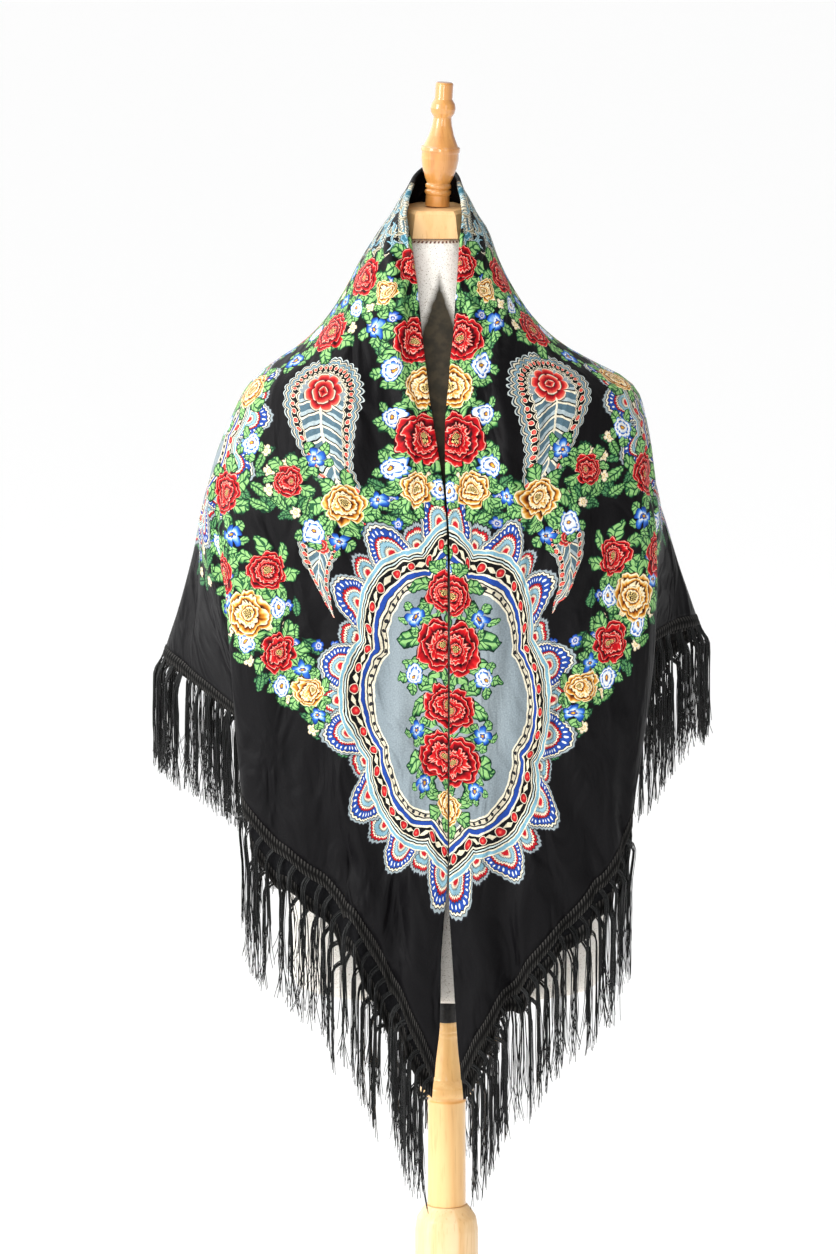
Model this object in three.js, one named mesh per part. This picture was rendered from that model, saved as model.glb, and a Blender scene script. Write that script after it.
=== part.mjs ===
// A fringed square shawl, folded on its diagonal and draped over a linen dress form on a turned wooden stand.
// Millimetres, +Z up. The origin is the centre of the stand's underside, and the front of the shawl faces -Y.
// Left and right are as seen from the front, so left is -X.

import * as THREE from 'three';

// ---- driving dimensions -------------------------------------------------------------------------------

const CLOTH = {
  thickness: 1.5,       // one layer
  gap: 2.5,             // air between the two layers
  underTip: 15,         // how far the under layer reaches below the outer one at the front tips
};
const HEADING = { width: 10.5, thickness: 2.2, seam: 1.8 };       // knotted band sewn to the hem
const FRINGE = {
  length: 114,
  thickness: 2,
  seam: 1.3,            // from the heading
  toothShare: 0.72,     // a tooth's share of its place in the row
  taper: 1.5,
  apron: 12,            // lies along the cloth before the teeth part
  outward: 2,           // stands off the cloth
};

const YOKE_FLOOR = 1240;        // above this height the cloth lies on the neck and shoulders, below it hangs
const YOKE_ROWS = 8;
const SKIRT_ROWS = 6;
const HALF_COLUMNS = 27;        // mesh columns from a front edge to the centre back
const HANG_POWER = 1.35;        // how soon below the yoke the hem's folds begin to show
const YOKE_FULLNESS = { across: 0.94, depth: 0.88, down: 1.1 };     // 1 across and in depth is an ellipse
const STEEPEST_HEM = 0.5;       // widths along the hem stop growing where it slopes more than this
const SHARPEST_FOLD = 0.72;     // offset faces stop spreading where a fold bends more than this
const FOLD_FULLNESS = 1.4;      // cloth in the turn of the folded edge, in thicknesses

// The shawl's outer face over the form, from the collar down: how far it reaches to each side, and where
// each front edge lies across.
const YOKE = [
  // height, left, right, front, back, leftEdge, rightEdge
  [1480, -31, 11, -38, 54, -30, 8],
  [1456, -40, 16, -38, 55, -38, 13],
  [1444, -48, 23, -42, 57, -39, 14],
  [1430, -56, 30, -52, 60, -39, 14],
  [1413, -68, 41, -60, 66, -35, 12],
  [1383, -87, 52, -69, 80, -31, 10],
  [1352, -103, 68, -80, 92, -28, 8],
  [1322, -123, 89, -91, 103, -25, 6],
  [1297, -148, 117, -100, 111, -22, 3],
  [1280, -174, 147, -105, 115, -20, 2],
  [1262, -195, 181, -111, 119, -18, 0],
  [1240, -209, 195, -119, 123, -15, -2],
  [1174, -230, 204, -137, 129, -8, -4],
  [1110, -240, 212, -144, 133, -6, -2],
];

// The top of the collar: the fold line rises from the front corners to the nape.
const COLLAR = { front: 1445, side: 1464, back: 1476 };

// Where the outer layer's hem hangs, from a front tip round to the back tip. Each row is a crest or a hollow
// of a fold: round is its angle on the yoke, from 0 at the front edge to 180 at the centre back, and under is
// how far the under layer's hem shows there, square to the hem.
const HEM_LEFT = [
  // round, across, depth, height, under
  [0, -12, -141, 600, 27],        // front tip
  [9, -36, -146, 653, 27],
  [17, -62, -137, 707, 27],       // first soft hollow
  [26, -96, -138, 760, 27],
  [36, -121, -126, 784, 27],      // second hollow
  [52, -170, -116, 824, 26],
  [64, -204, -92, 862, 22],       // outer edge of the front panel
  [70, -198, -68, 888, 16],
  [75, -186, -50, 908, 12],       // tucked behind the panel
  [81, -206, -24, 932, 8],
  [90, -250, 28, 960, 5],        // over the arm side
  [99, -284, 86, 979, 5],        // widest point
  [107, -268, 134, 970, 8],
  [114, -232, 142, 952, 12],      // hollow
  [121, -212, 172, 928, 16],
  [128, -188, 192, 902, 20],
  [136, -160, 174, 874, 23],
  [143, -138, 144, 846, 25],      // hollow
  [150, -114, 166, 810, 27],
  [157, -90, 194, 772, 27],
  [164, -68, 184, 728, 27],
  [170, -52, 156, 684, 27],       // hollow
  [175, -36, 166, 638, 27],
];
const HEM_RIGHT = [
  [0, 14, -141, 597, 27],
  [8, 34, -146, 637, 27],
  [16, 58, -138, 676, 27],
  [25, 90, -137, 716, 27],
  [35, 121, -126, 749, 27],
  [47, 152, -114, 782, 25],
  [58, 178, -96, 822, 20],
  [66, 188, -74, 868, 13],        // outer edge, curled back
  [71, 188, -54, 922, 8],
  [76, 188, -34, 962, 5],        // tucked behind the panel
  [82, 197, -8, 994, 3],
  [88, 214, 22, 1009, 3],
  [96, 248, 68, 1014, 3],        // widest point
  [104, 250, 112, 1004, 6],
  [111, 222, 132, 980, 10],
  [118, 202, 162, 950, 15],
  [126, 176, 188, 914, 20],
  [134, 148, 172, 880, 23],
  [141, 126, 144, 846, 25],
  [149, 104, 166, 806, 27],
  [156, 80, 192, 764, 27],
  [163, 56, 182, 716, 27],
  [169, 40, 154, 672, 27],
  [174, 22, 164, 626, 27],
];
const BACK_TIP = [180, -8, 188, 568, 27];

// Extra reach at mid-height, where the side of the cloth swells before it falls: round, millimetres
const SWELL_LEFT = [[0, 0], [40, 0], [64, 6], [78, 14], [99, -4], [180, 0]];
const SWELL_RIGHT = [[0, 0], [40, 4], [64, 16], [76, 14], [95, -5], [180, 0]];

// The dress form, from the neck down: half widths about a centre that leans a little to the left
const FORM = [
  // height, centre, side, front, back
  [1410.5, -12, 42, 49, 48],
  [1392, -12, 47, 53, 54],
  [1366, -11, 57, 58, 66],
  [1345, -13, 66, 67, 76],
  [1322, -14, 85, 78, 88],
  [1297, -14, 114, 88, 97],
  [1280, -13, 144, 95, 102],
  [1262, -12, 172.5, 100, 106],
  [1240, -11, 185, 107, 109],
  [1190, -9, 183, 122, 110],
  [1130, -8, 172, 130, 105],
  [1060, -6, 149, 113, 95],
  [980, -4, 127, 96, 91],
  [900, -3, 141, 102, 106],
  [800, -1, 158, 110, 124],
  [720, 0, 161, 108, 120],
  [662, 0, 158, 102, 113],
  [645, 0, 152, 93, 104],
];
const FORM_SEGMENTS = 28;
const FORM_SQUARENESS = 2.25;       // 2 is an ellipse

const NECK_BLOCK = { bottom: 1410.8, top: 1437, chamfer: 3, halfBottom: 33, halfTop: 29, frontBottom: 46,
  frontTop: 41, cornerShare: 0.68, flankShare: 0.54, centre: -12 };

const FINIAL = { foot: 1437.3, footRadius: 12.3, across: -10, lean: 3.4 };      // lean in degrees, to the right
const SOCKET = { top: 644.7, radius: 8.5 };
const POST_TOP = 627;
const SHAFT_FOOT = 421;
const BASE_TOP = 46;
const FIT = 0.3;                    // gap between pieces that meet

// ---- small helpers ------------------------------------------------------------------------------------

const vec = (x, y, z) => new THREE.Vector3(x, y, z);

function lookUp(table, at, column) {
  // Smooth reading of one column of a table whose first column rises or falls steadily.
  const falls = table[0][0] > table[table.length - 1][0];
  const key = falls ? -at : at;
  const keys = table.map((row) => (falls ? -row[0] : row[0]));
  const last = table.length - 1;
  if (key <= keys[0]) return table[0][column];
  if (key >= keys[last]) return table[last][column];
  let i = 0;
  while (key > keys[i + 1]) i += 1;
  const span = keys[i + 1] - keys[i];
  const share = (key - keys[i]) / span;
  const slope = (k) => {
    if (k <= 0 || k >= last) return 0;
    return (table[k + 1][column] - table[k - 1][column]) / (keys[k + 1] - keys[k - 1]);
  };
  const square = share * share;
  const cube = square * share;
  return (2 * cube - 3 * square + 1) * table[i][column] + (cube - 2 * square + share) * span * slope(i)
    + (3 * square - 2 * cube) * table[i + 1][column] + (cube - square) * span * slope(i + 1);
}

class Faces {
  // Collects corner points and flat faces, and turns them into one geometry.
  constructor() {
    this.points = [];
    this.index = [];
  }

  point(p) {
    this.points.push(p.x, p.y, p.z);
    return this.points.length / 3 - 1;
  }

  quad(a, b, c, d) {
    this.index.push(a, b, c, a, c, d);
  }

  triangle(a, b, c) {
    this.index.push(a, b, c);
  }

  geometry() {
    const made = new THREE.BufferGeometry();
    made.setAttribute('position', new THREE.Float32BufferAttribute(this.points, 3));
    made.setIndex(this.index);
    made.computeVertexNormals();
    return made;
  }
}

// ---- the shawl's outer face ---------------------------------------------------------------------------

function hemPoints() {
  // One hem point for each mesh column, from the left front tip round the back to the right front tip.
  const rows = (table) => [...table, BACK_TIP];
  const half = (table, swell) => {
    const list = rows(table);
    const places = list.map((row) => vec(row[1], row[2], row[3]));
    const route = new THREE.CatmullRomCurve3(places, false, 'centripetal');
    const column = (place) => list.map((row, i) => [i, row[place]]);
    return Array.from({ length: HALF_COLUMNS + 1 }, (_, k) => {
      const at = k / HALF_COLUMNS;
      const round = lookUp(column(0), at * (list.length - 1), 1);
      const shows = lookUp(column(4), at * (list.length - 1), 1);
      return { round, shows, at: route.getPoint(at), swell: lookUp(swell, round, 1) };
    });
  };
  const left = half(HEM_LEFT, SWELL_LEFT).map((p) => ({ ...p, side: -1 }));
  const right = half(HEM_RIGHT, SWELL_RIGHT).map((p) => ({ ...p, side: 1 }));
  return [...left, ...right.reverse().slice(1)];
}

function yokePoint(side, round, height) {
  // The oval of the shoulders at one height; each half runs from its own front edge to the centre back.
  const turn = THREE.MathUtils.degToRad(round);
  const reach = lookUp(YOKE, height, side < 0 ? 1 : 2);
  const edge = lookUp(YOKE, height, side < 0 ? 5 : 6);
  const spine = (lookUp(YOKE, height, 1) + lookUp(YOKE, height, 2)) / 2;
  const inner = round < 90 ? edge : spine;
  const depth = round < 90 ? lookUp(YOKE, height, 3) : lookUp(YOKE, height, 4);
  const sideways = Math.pow(Math.sin(turn), YOKE_FULLNESS.across);
  const deep = Math.pow(Math.abs(Math.cos(turn)), YOKE_FULLNESS.depth);
  return vec(inner + (reach - inner) * sideways, depth * deep, height);
}

function collarHeight(round) {
  const table = [[0, COLLAR.front], [90, COLLAR.side], [180, COLLAR.back]];
  return lookUp(table, round, 1);
}

function outerFace(hem) {
  // A grid of points: [column][row], rows from the fold at the top to the hem.
  return hem.map(({ round, at, side, swell }) => {
    const top = collarHeight(round);
    const column = [];
    for (let row = 0; row <= YOKE_ROWS; row += 1) {
      const share = row / YOKE_ROWS;
      column.push(yokePoint(side, round, top + (YOKE_FLOOR - top) * Math.pow(share, YOKE_FULLNESS.down)));
    }
    for (let row = 1; row <= SKIRT_ROWS; row += 1) {
      const fall = row / SKIRT_ROWS;
      const height = YOKE_FLOOR + (at.z - YOKE_FLOOR) * fall;
      const lying = yokePoint(side, round, height);
      const weight = Math.pow(fall, HANG_POWER);
      const p = lying.lerp(vec(at.x, at.y, height), weight);
      const outward = vec(p.x, p.y, 0).normalize();
      column.push(p.addScaledVector(outward, swell * 4 * fall * (1 - fall)));
    }
    return column;
  });
}

function normalsOf(grid) {
  const columns = grid.length - 1;
  const rows = grid[0].length - 1;
  return grid.map((column, i) => column.map((_, j) => {
    const across = grid[Math.min(i + 1, columns)][j].clone().sub(grid[Math.max(i - 1, 0)][j]);
    const down = grid[i][Math.min(j + 1, rows)].clone().sub(grid[i][Math.max(j - 1, 0)]);
    return across.cross(down).normalize();
  }));
}

function turnAt(grid, i, j) {
  // How much a fold's bend shortens the space between offset faces at a column.
  const columns = grid.length - 1;
  if (i === 0 || i === columns) return 1;
  const a = grid[i][j].clone().sub(grid[i - 1][j]).normalize();
  const b = grid[i + 1][j].clone().sub(grid[i][j]).normalize();
  return 1 / Math.max(Math.sqrt((1 + a.dot(b)) / 2), SHARPEST_FOLD);
}

const hem = hemPoints();
const outer = outerFace(hem);
const outward = normalsOf(outer);
const LAST = outer.length - 1;
const HEM_ROW = outer[0].length - 1;

function layer(depth) {
  // The outer face moved inwards by a depth, at right angles to the cloth.
  return outer.map((column, i) => column.map((p, j) => (
    p.clone().addScaledVector(outward[i][j], -depth * turnAt(outer, i, j)))));
}

function hemDirection(i) {
  return outer[i][HEM_ROW].clone().sub(outer[i][HEM_ROW - 1]).normalize();
}

function alongHem(i) {
  return outer[Math.min(i + 1, LAST)][HEM_ROW].clone().sub(outer[Math.max(i - 1, 0)][HEM_ROW]).normalize();
}

function hemSlope(i) {
  // 1 where the hem lies square to the cloth's fall, and less where it slopes.
  return alongHem(i).cross(hemDirection(i)).length();
}

function underReach(i) {
  // Along the cloth, so that the strip that shows keeps its width whatever the hem's slope.
  if (i === 0 || i === LAST) return CLOTH.underTip;
  return hem[i].shows / Math.max(hemSlope(i), STEEPEST_HEM);
}

function shawlGeometry() {
  const depths = {
    outside: 0,
    outsideBack: CLOTH.thickness,
    insideFront: CLOTH.thickness + CLOTH.gap,
    inside: 2 * CLOTH.thickness + CLOTH.gap,
  };
  const made = new Faces();
  const place = (depth, hollow, longer) => {
    const points = layer(depth);
    if (hollow) {
      // the air between the layers stops short of the folds by the cloth's own thickness
      const turn = CLOTH.thickness * FOLD_FULLNESS;
      const draw = (from, to) => from.addScaledVector(to.clone().sub(from).normalize(), turn);
      for (let j = 0; j <= HEM_ROW; j += 1) {
        draw(points[0][j], points[1][j]);
        draw(points[LAST][j], points[LAST - 1][j]);
      }
      for (let i = 0; i <= LAST; i += 1) draw(points[i][0], points[i][1]);
    }
    if (longer) {
      points.forEach((column, i) => {
        column.push(column[HEM_ROW].clone().addScaledVector(hemDirection(i), underReach(i)));
      });
    }
    return points.map((column) => column.map((p) => made.point(p)));
  };
  const o0 = place(depths.outside, false, false);
  const o1 = place(depths.outsideBack, true, false);
  const u2 = place(depths.insideFront, true, true);
  const u3 = place(depths.inside, false, true);

  const sheet = (g, rows, flip) => {
    for (let i = 0; i < LAST; i += 1) {
      for (let j = 0; j < rows; j += 1) {
        const corners = [g[i][j], g[i + 1][j], g[i + 1][j + 1], g[i][j + 1]];
        made.quad(...(flip ? corners.reverse() : corners));
      }
    }
  };
  const fold = (front, back, flip) => {
    // joins two layers along both front edges and over the top
    const join = (...corners) => made.quad(...(flip ? corners.reverse() : corners));
    for (let j = 0; j < HEM_ROW; j += 1) {
      join(front[0][j], front[0][j + 1], back[0][j + 1], back[0][j]);
      join(front[LAST][j + 1], front[LAST][j], back[LAST][j], back[LAST][j + 1]);
    }
    for (let i = 0; i < LAST; i += 1) join(front[i + 1][0], front[i][0], back[i][0], back[i + 1][0]);
  };
  sheet(o0, HEM_ROW, false);
  sheet(o1, HEM_ROW, true);
  sheet(u2, HEM_ROW + 1, false);
  sheet(u3, HEM_ROW + 1, true);
  fold(o0, u3, false);
  fold(o1, u2, true);
  const m = HEM_ROW;
  for (let i = 0; i < LAST; i += 1) {
    made.quad(o0[i][m], o0[i + 1][m], o1[i + 1][m], o1[i][m]);
    made.quad(u3[i + 1][m + 1], u3[i][m + 1], u2[i][m + 1], u2[i + 1][m + 1]);
  }
  made.quad(o0[0][m], o1[0][m], u2[0][m], u3[0][m]);
  made.quad(o0[LAST][m], u3[LAST][m], u2[LAST][m], o1[LAST][m]);
  made.quad(u3[0][m + 1], u3[0][m], u2[0][m], u2[0][m + 1]);
  made.quad(u3[LAST][m], u3[LAST][m + 1], u2[LAST][m + 1], u2[LAST][m]);
  return made.geometry();
}

// ---- headings and fringes -----------------------------------------------------------------------------

const MID_OUTER = CLOTH.thickness / 2;
const MID_UNDER = CLOTH.thickness + CLOTH.gap + CLOTH.thickness / 2;

function hemLine(under, from, to) {
  // The middle of one layer's hem along one side of the square. Trims hang down the cloth's own columns, so
  // each place keeps how much longer a width becomes when it is measured down a sloping hem.
  const middle = layer(under ? MID_UNDER : MID_OUTER);
  const line = [];
  for (let i = from; i <= to; i += 1) {
    const down = hemDirection(i);
    const point = middle[i][HEM_ROW].clone();
    if (under) point.addScaledVector(down, underReach(i));
    const lengthen = 1 / Math.max(hemSlope(i), STEEPEST_HEM);
    const bend = (under ? 0 : underReach(i)) + 2 * HEADING.width * lengthen;
    const normal = outward[i][HEM_ROW].clone().multiplyScalar(turnAt(outer, i, HEM_ROW));
    line.push({ point, down, lengthen, bend, normal });
  }
  return line;
}

function trimEnds(line, amount) {
  // Draws the ends of a run in, so that neighbouring runs don't meet at a corner.
  const ends = [[0, 1], [line.length - 1, line.length - 2]];
  ends.forEach(([end, next]) => {
    const step = line[next].point.clone().sub(line[end].point).normalize();
    line[end].point.addScaledVector(step, amount);
  });
  return line;
}

function headingGeometry(line) {
  const made = new Faces();
  const half = HEADING.thickness / 2;
  const rings = line.map(({ point, down, lengthen, normal }) => {
    const top = point.clone().addScaledVector(down, HEADING.seam * lengthen);
    const foot = top.clone().addScaledVector(down, HEADING.width * lengthen);
    return [[top, half], [foot, half], [foot, -half], [top, -half]]
      .map(([p, lift]) => made.point(p.clone().addScaledVector(normal, lift)));
  });
  for (let k = 0; k < rings.length - 1; k += 1) {
    for (let c = 0; c < 4; c += 1) {
      const d = (c + 1) % 4;
      made.quad(rings[k][c], rings[k + 1][c], rings[k + 1][d], rings[k][d]);
    }
  }
  const first = rings[0];
  const last = rings[rings.length - 1];
  made.quad(first[0], first[1], first[2], first[3]);
  made.quad(last[3], last[2], last[1], last[0]);
  return made.geometry();
}

function fringeGeometry(line) {
  // A comb: an apron that lies along the cloth's fall, then one tooth for each column, falling plumb.
  const made = new Faces();
  const half = FRINGE.thickness / 2;
  const rows = line.map(({ point, down, lengthen, bend, normal }) => {
    const start = (HEADING.seam + HEADING.width + FRINGE.seam) * lengthen;
    const top = point.clone().addScaledVector(down, start);
    const knee = point.clone().addScaledVector(down, Math.max(bend, start + FRINGE.apron))
      .addScaledVector(normal, FRINGE.outward);
    const foot = knee.clone().add(vec(0, 0, -FRINGE.length + (top.z - knee.z)));
    return { top, knee, foot, normal };
  });
  const faces = (p, normal) => [-half, half].map((lift) => made.point(p.clone().addScaledVector(normal, lift)));
  const tops = rows.map((row) => faces(row.top, row.normal));
  const between = (k, share, name) => rows[k][name].clone().lerp(rows[k + 1][name], share);
  const margin = (1 - FRINGE.toothShare) / 2;
  const teeth = [];
  for (let k = 0; k < rows.length - 1; k += 1) {
    const corner = (share, name) => faces(between(k, share, name), between(k, share, 'normal').normalize());
    teeth.push({
      knee: [corner(margin, 'knee'), corner(1 - margin, 'knee')],
      foot: [corner(margin * FRINGE.taper, 'foot'), corner(1 - margin * FRINGE.taper, 'foot')],
    });
  }
  teeth.forEach(({ knee, foot }, k) => {
    const [a, b] = knee;
    const [c, d] = foot;
    const [s, t] = [tops[k], tops[k + 1]];
    made.quad(s[0], a[0], b[0], t[0]);
    made.quad(t[1], b[1], a[1], s[1]);
    made.quad(s[1], s[0], t[0], t[1]);
    made.quad(a[0], c[0], d[0], b[0]);
    made.quad(b[1], d[1], c[1], a[1]);
    made.quad(a[1], c[1], c[0], a[0]);
    made.quad(b[0], d[0], d[1], b[1]);
    made.quad(c[0], c[1], d[1], d[0]);
    if (k + 1 < teeth.length) {
      const next = teeth[k + 1].knee[0];
      made.triangle(t[0], b[0], next[0]);
      made.triangle(t[1], next[1], b[1]);
      made.quad(b[0], b[1], next[1], next[0]);
    }
  });
  const first = teeth[0].knee[0];
  const last = teeth[teeth.length - 1].knee[1];
  const end = tops[tops.length - 1];
  made.quad(tops[0][0], tops[0][1], first[1], first[0]);
  made.quad(end[1], end[0], last[0], last[1]);
  return made.geometry();
}

// ---- dress form and stand -----------------------------------------------------------------------------

function formGeometry() {
  const made = new Faces();
  const bulge = (value) => Math.sign(value) * Math.pow(Math.abs(value), 2 / FORM_SQUARENESS);
  const rings = FORM.map(([height, centre, side, front, back]) => (
    Array.from({ length: FORM_SEGMENTS }, (_, k) => {
      const turn = (k / FORM_SEGMENTS) * Math.PI * 2;
      const across = centre + side * bulge(Math.sin(turn));
      const depth = (Math.cos(turn) > 0 ? -front : back) * Math.abs(bulge(Math.cos(turn)));
      return made.point(vec(across, depth, height));
    })));
  const top = FORM[0];
  const foot = FORM[FORM.length - 1];
  const crown = made.point(vec(top[1], 0, top[0]));
  const floor = made.point(vec(foot[1], 0, foot[0]));
  for (let k = 0; k < FORM_SEGMENTS; k += 1) {
    const n = (k + 1) % FORM_SEGMENTS;
    for (let r = 0; r < rings.length - 1; r += 1) {
      made.quad(rings[r][k], rings[r + 1][k], rings[r + 1][n], rings[r][n]);
    }
    made.triangle(crown, rings[0][k], rings[0][n]);
    made.triangle(floor, rings[rings.length - 1][n], rings[rings.length - 1][k]);
  }
  return made.geometry();
}

function neckBlockGeometry() {
  // Eight-sided, narrower at the top, with its upper edge chamfered.
  const made = new Faces();
  const { bottom, top, chamfer, halfBottom, halfTop, frontBottom, frontTop } = NECK_BLOCK;
  const { cornerShare, flankShare, centre } = NECK_BLOCK;
  const ring = (height, half, front) => {
    const side = half * cornerShare;
    const flank = front * flankShare;
    return [[side, -front], [half, -flank], [half, flank], [side, front], [-side, front], [-half, flank],
      [-half, -flank], [-side, -front]].map(([x, y]) => made.point(vec(centre + x, y, height)));
  };
  const rings = [ring(bottom, halfBottom, frontBottom), ring(top - chamfer, halfTop, frontTop),
    ring(top, halfTop - chamfer, frontTop - chamfer)];
  for (let r = 0; r < 2; r += 1) {
    for (let k = 0; k < 8; k += 1) {
      const n = (k + 1) % 8;
      made.quad(rings[r][k], rings[r][n], rings[r + 1][n], rings[r + 1][k]);
    }
  }
  for (let k = 1; k < 7; k += 1) {
    made.triangle(rings[2][0], rings[2][k], rings[2][k + 1]);
    made.triangle(rings[0][0], rings[0][k + 1], rings[0][k]);
  }
  return made.geometry();
}

function turned(profile, segments = 24) {
  // A lathe profile of [radius, height] from the axis at the bottom to the axis at the top.
  const points = profile.map(([radius, height]) => new THREE.Vector2(radius, height));
  return new THREE.LatheGeometry(points, segments).rotateX(Math.PI / 2);
}

function finialGeometry() {
  const ball = { height: 97, radius: 12.5 };
  const arc = [-44, -15, 15, 44].map((degrees) => {
    const turn = THREE.MathUtils.degToRad(degrees);
    return [ball.radius * Math.cos(turn), ball.height + ball.radius * Math.sin(turn)];
  });
  return turned([
    [0, 0], [FINIAL.footRadius, 0], [11.8, 10.5],
    [13.2, 12.5], [13.2, 15], [11.4, 16.8],            // lower ring
    [13, 18.5], [13, 21], [11.6, 22.6],                // upper ring
    [13.6, 27], [17.2, 38], [18.6, 47], [18.4, 53],    // vase
    [19.4, 55], [19.2, 58.5], [17, 59.8],              // lip
    [12.6, 70], [9.9, 80], [8.9, 87.5],                // flare up to the ball
    ...arc,
    [8.8, 106], [8.8, 121], [7.8, 122.7], [0, 122.7],  // top peg
  ]);
}

function upperPostGeometry() {
  return turned([
    [0, SHAFT_FOOT + FIT], [19.6, SHAFT_FOOT + FIT], [18.8, 512], [20.8, 514], [20.8, 520],
    [26.6, 523], [26.9, 529], [23.4, 532], [22.6, 537], [25.4, 540],        // ring and cove under the bell
    [22, 550], [15.5, 562], [12.6, 576], [11.6, 587], [12.2, 588.5], [11.2, 593],
    [11.8, 594.5], [10.6, 604], [10.6, POST_TOP], [0, POST_TOP],
  ]);
}

function lowerPostGeometry() {
  return turned([
    [0, BASE_TOP + FIT], [30, BASE_TOP + FIT], [30, 66], [36, 74], [36, 84], [29, 94],
    [32, 140], [32, 396], [30, 408], [25, 416], [21, SHAFT_FOOT], [0, SHAFT_FOOT],
  ]);
}

function baseGeometry() {
  return turned([
    [0, 0], [190, 0], [194, 4], [194, 16], [188, 24], [176, 27], [120, 31], [70, 36],
    [50, 41], [48, BASE_TOP], [0, BASE_TOP],
  ], 40);
}

// ---- materials and assembly ---------------------------------------------------------------------------

const finish = (colour, roughness, metalness = 0) => (
  new THREE.MeshStandardMaterial({ color: colour, roughness, metalness, side: THREE.DoubleSide }));
const printedCloth = finish(0x2a2a2e, 0.7);
const blackBraid = finish(0x1c1c1e, 0.6);
const blackViscose = finish(0x141415, 0.4);
const linen = finish(0xe6dccb, 0.9);
const varnishedWood = finish(0xe0a050, 0.35);
const paleWood = finish(0xe4c38a, 0.5);
const blackMetal = finish(0x151517, 0.35, 0.8);

const group = new THREE.Group();

function add(name, geometry, material) {
  const mesh = new THREE.Mesh(geometry, material);
  mesh.name = name;
  group.add(mesh);
  return mesh;
}

add('shawl_cloth', shawlGeometry(), printedCloth);

const MIDDLE = LAST / 2;
const SIDES = [['left', 0, MIDDLE], ['right', MIDDLE, LAST]];
const CORNER_GAP = 1.5;
for (const [side, from, to] of SIDES) {
  for (const which of ['outer', 'under']) {
    const under = which === 'under';
    const line = trimEnds(hemLine(under, from, to), CORNER_GAP);
    add(`heading_${which}_${side}`, headingGeometry(line), blackBraid);
    add(`fringe_${which}_${side}`, fringeGeometry(line), blackViscose);
  }
}

add('dress_form', formGeometry(), linen);
add('neck_block', neckBlockGeometry(), paleWood);
const finial = add('finial', finialGeometry(), varnishedWood);
const lift = FINIAL.footRadius * Math.sin(THREE.MathUtils.degToRad(FINIAL.lean));     // clears the leaning foot
finial.position.set(FINIAL.across, 0, FINIAL.foot + lift);
finial.rotation.y = THREE.MathUtils.degToRad(FINIAL.lean);
add('socket', turned([[0, POST_TOP + FIT], [SOCKET.radius, POST_TOP + FIT], [SOCKET.radius, SOCKET.top],
  [0, SOCKET.top]], 20), blackMetal);
add('upper_post', upperPostGeometry(), varnishedWood);
add('lower_post', lowerPostGeometry(), varnishedWood);
add('stand_base', baseGeometry(), varnishedWood);

export default group;
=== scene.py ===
import math
import random

import bmesh
import bpy
import numpy as np
from mathutils import Matrix, Vector


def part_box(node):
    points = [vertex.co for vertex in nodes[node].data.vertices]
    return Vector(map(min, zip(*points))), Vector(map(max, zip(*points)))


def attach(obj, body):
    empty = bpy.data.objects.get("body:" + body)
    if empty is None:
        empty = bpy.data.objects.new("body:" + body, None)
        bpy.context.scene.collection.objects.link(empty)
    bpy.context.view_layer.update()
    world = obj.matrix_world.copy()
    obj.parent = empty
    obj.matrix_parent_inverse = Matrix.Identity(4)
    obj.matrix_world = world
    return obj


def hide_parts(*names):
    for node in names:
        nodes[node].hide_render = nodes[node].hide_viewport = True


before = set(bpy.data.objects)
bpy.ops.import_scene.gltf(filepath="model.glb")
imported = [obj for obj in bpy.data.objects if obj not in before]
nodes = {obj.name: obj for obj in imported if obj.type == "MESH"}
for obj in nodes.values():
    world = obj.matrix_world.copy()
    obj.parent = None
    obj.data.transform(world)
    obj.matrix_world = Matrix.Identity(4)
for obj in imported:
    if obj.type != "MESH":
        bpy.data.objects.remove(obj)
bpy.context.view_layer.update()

# The camera stands eight metres in front of the shawl and looks down on it by ten degrees. Its long lens
# takes in everything from the tip of the finial to the pale post below the fringes.
VIEW_DOWN, VIEW_DISTANCE = math.radians(10), 8
VIEW_MIDDLE = Vector((-0.029, 0, 1.01415))
camera = bpy.data.objects.new("camera", bpy.data.cameras.new("camera"))
bpy.context.scene.collection.objects.link(camera)
camera.data.lens = 229.7
camera.data.sensor_width = 36
camera_back = Vector((0, -math.cos(VIEW_DOWN), math.sin(VIEW_DOWN)))
camera.location = VIEW_MIDDLE + VIEW_DISTANCE * camera_back
camera.rotation_euler = camera_back.to_track_quat("Z", "Y").to_euler()
bpy.context.scene.camera = camera
bpy.context.scene.view_settings.view_transform = "Standard"

# The studio is a white floor in a white room, with three softboxes in front and one overhead. The room is
# brighter on the left than on the right, so that folds in the black cloth show.
WHITE = (0.97, 0.97, 0.97, 1)
BRIGHT_SIDE, DIM_SIDE = 2.1, 0.42
LEFT_EDGE, RIGHT_EDGE = -0.75, 0.15     # between these, as shares of the way across, the room grows dimmer


class Measure:
    """A value worked out at every point; the room's light and every finish are made up of these."""

    def __init__(self, socket):
        self.socket = socket

    def __add__(self, other):
        return work("ADD", self, other)

    def __sub__(self, other):
        return work("SUBTRACT", self, other)

    def __rsub__(self, other):
        return work("SUBTRACT", other, self)

    def __mul__(self, other):
        return work("MULTIPLY", self, other)

    def __truediv__(self, other):
        return work("DIVIDE", self, other)

    __radd__, __rmul__ = __add__, __mul__


def feed(place, value):
    """Links a measure to a socket, or sets the socket to a plain value."""
    if isinstance(value, Measure):
        place.id_data.links.new(value.socket, place)
    else:
        place.default_value = value


def step_on(kind, values, **settings):
    """A node in the same tree as these values, with them fed to its sockets in order."""
    tree = next(value.socket.id_data for value in values if isinstance(value, Measure))
    step = tree.nodes.new("ShaderNode" + kind)
    for name, setting in settings.items():
        setattr(step, name, setting)
    for place, value in zip(step.inputs, values):
        feed(place, value)
    return step


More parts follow.
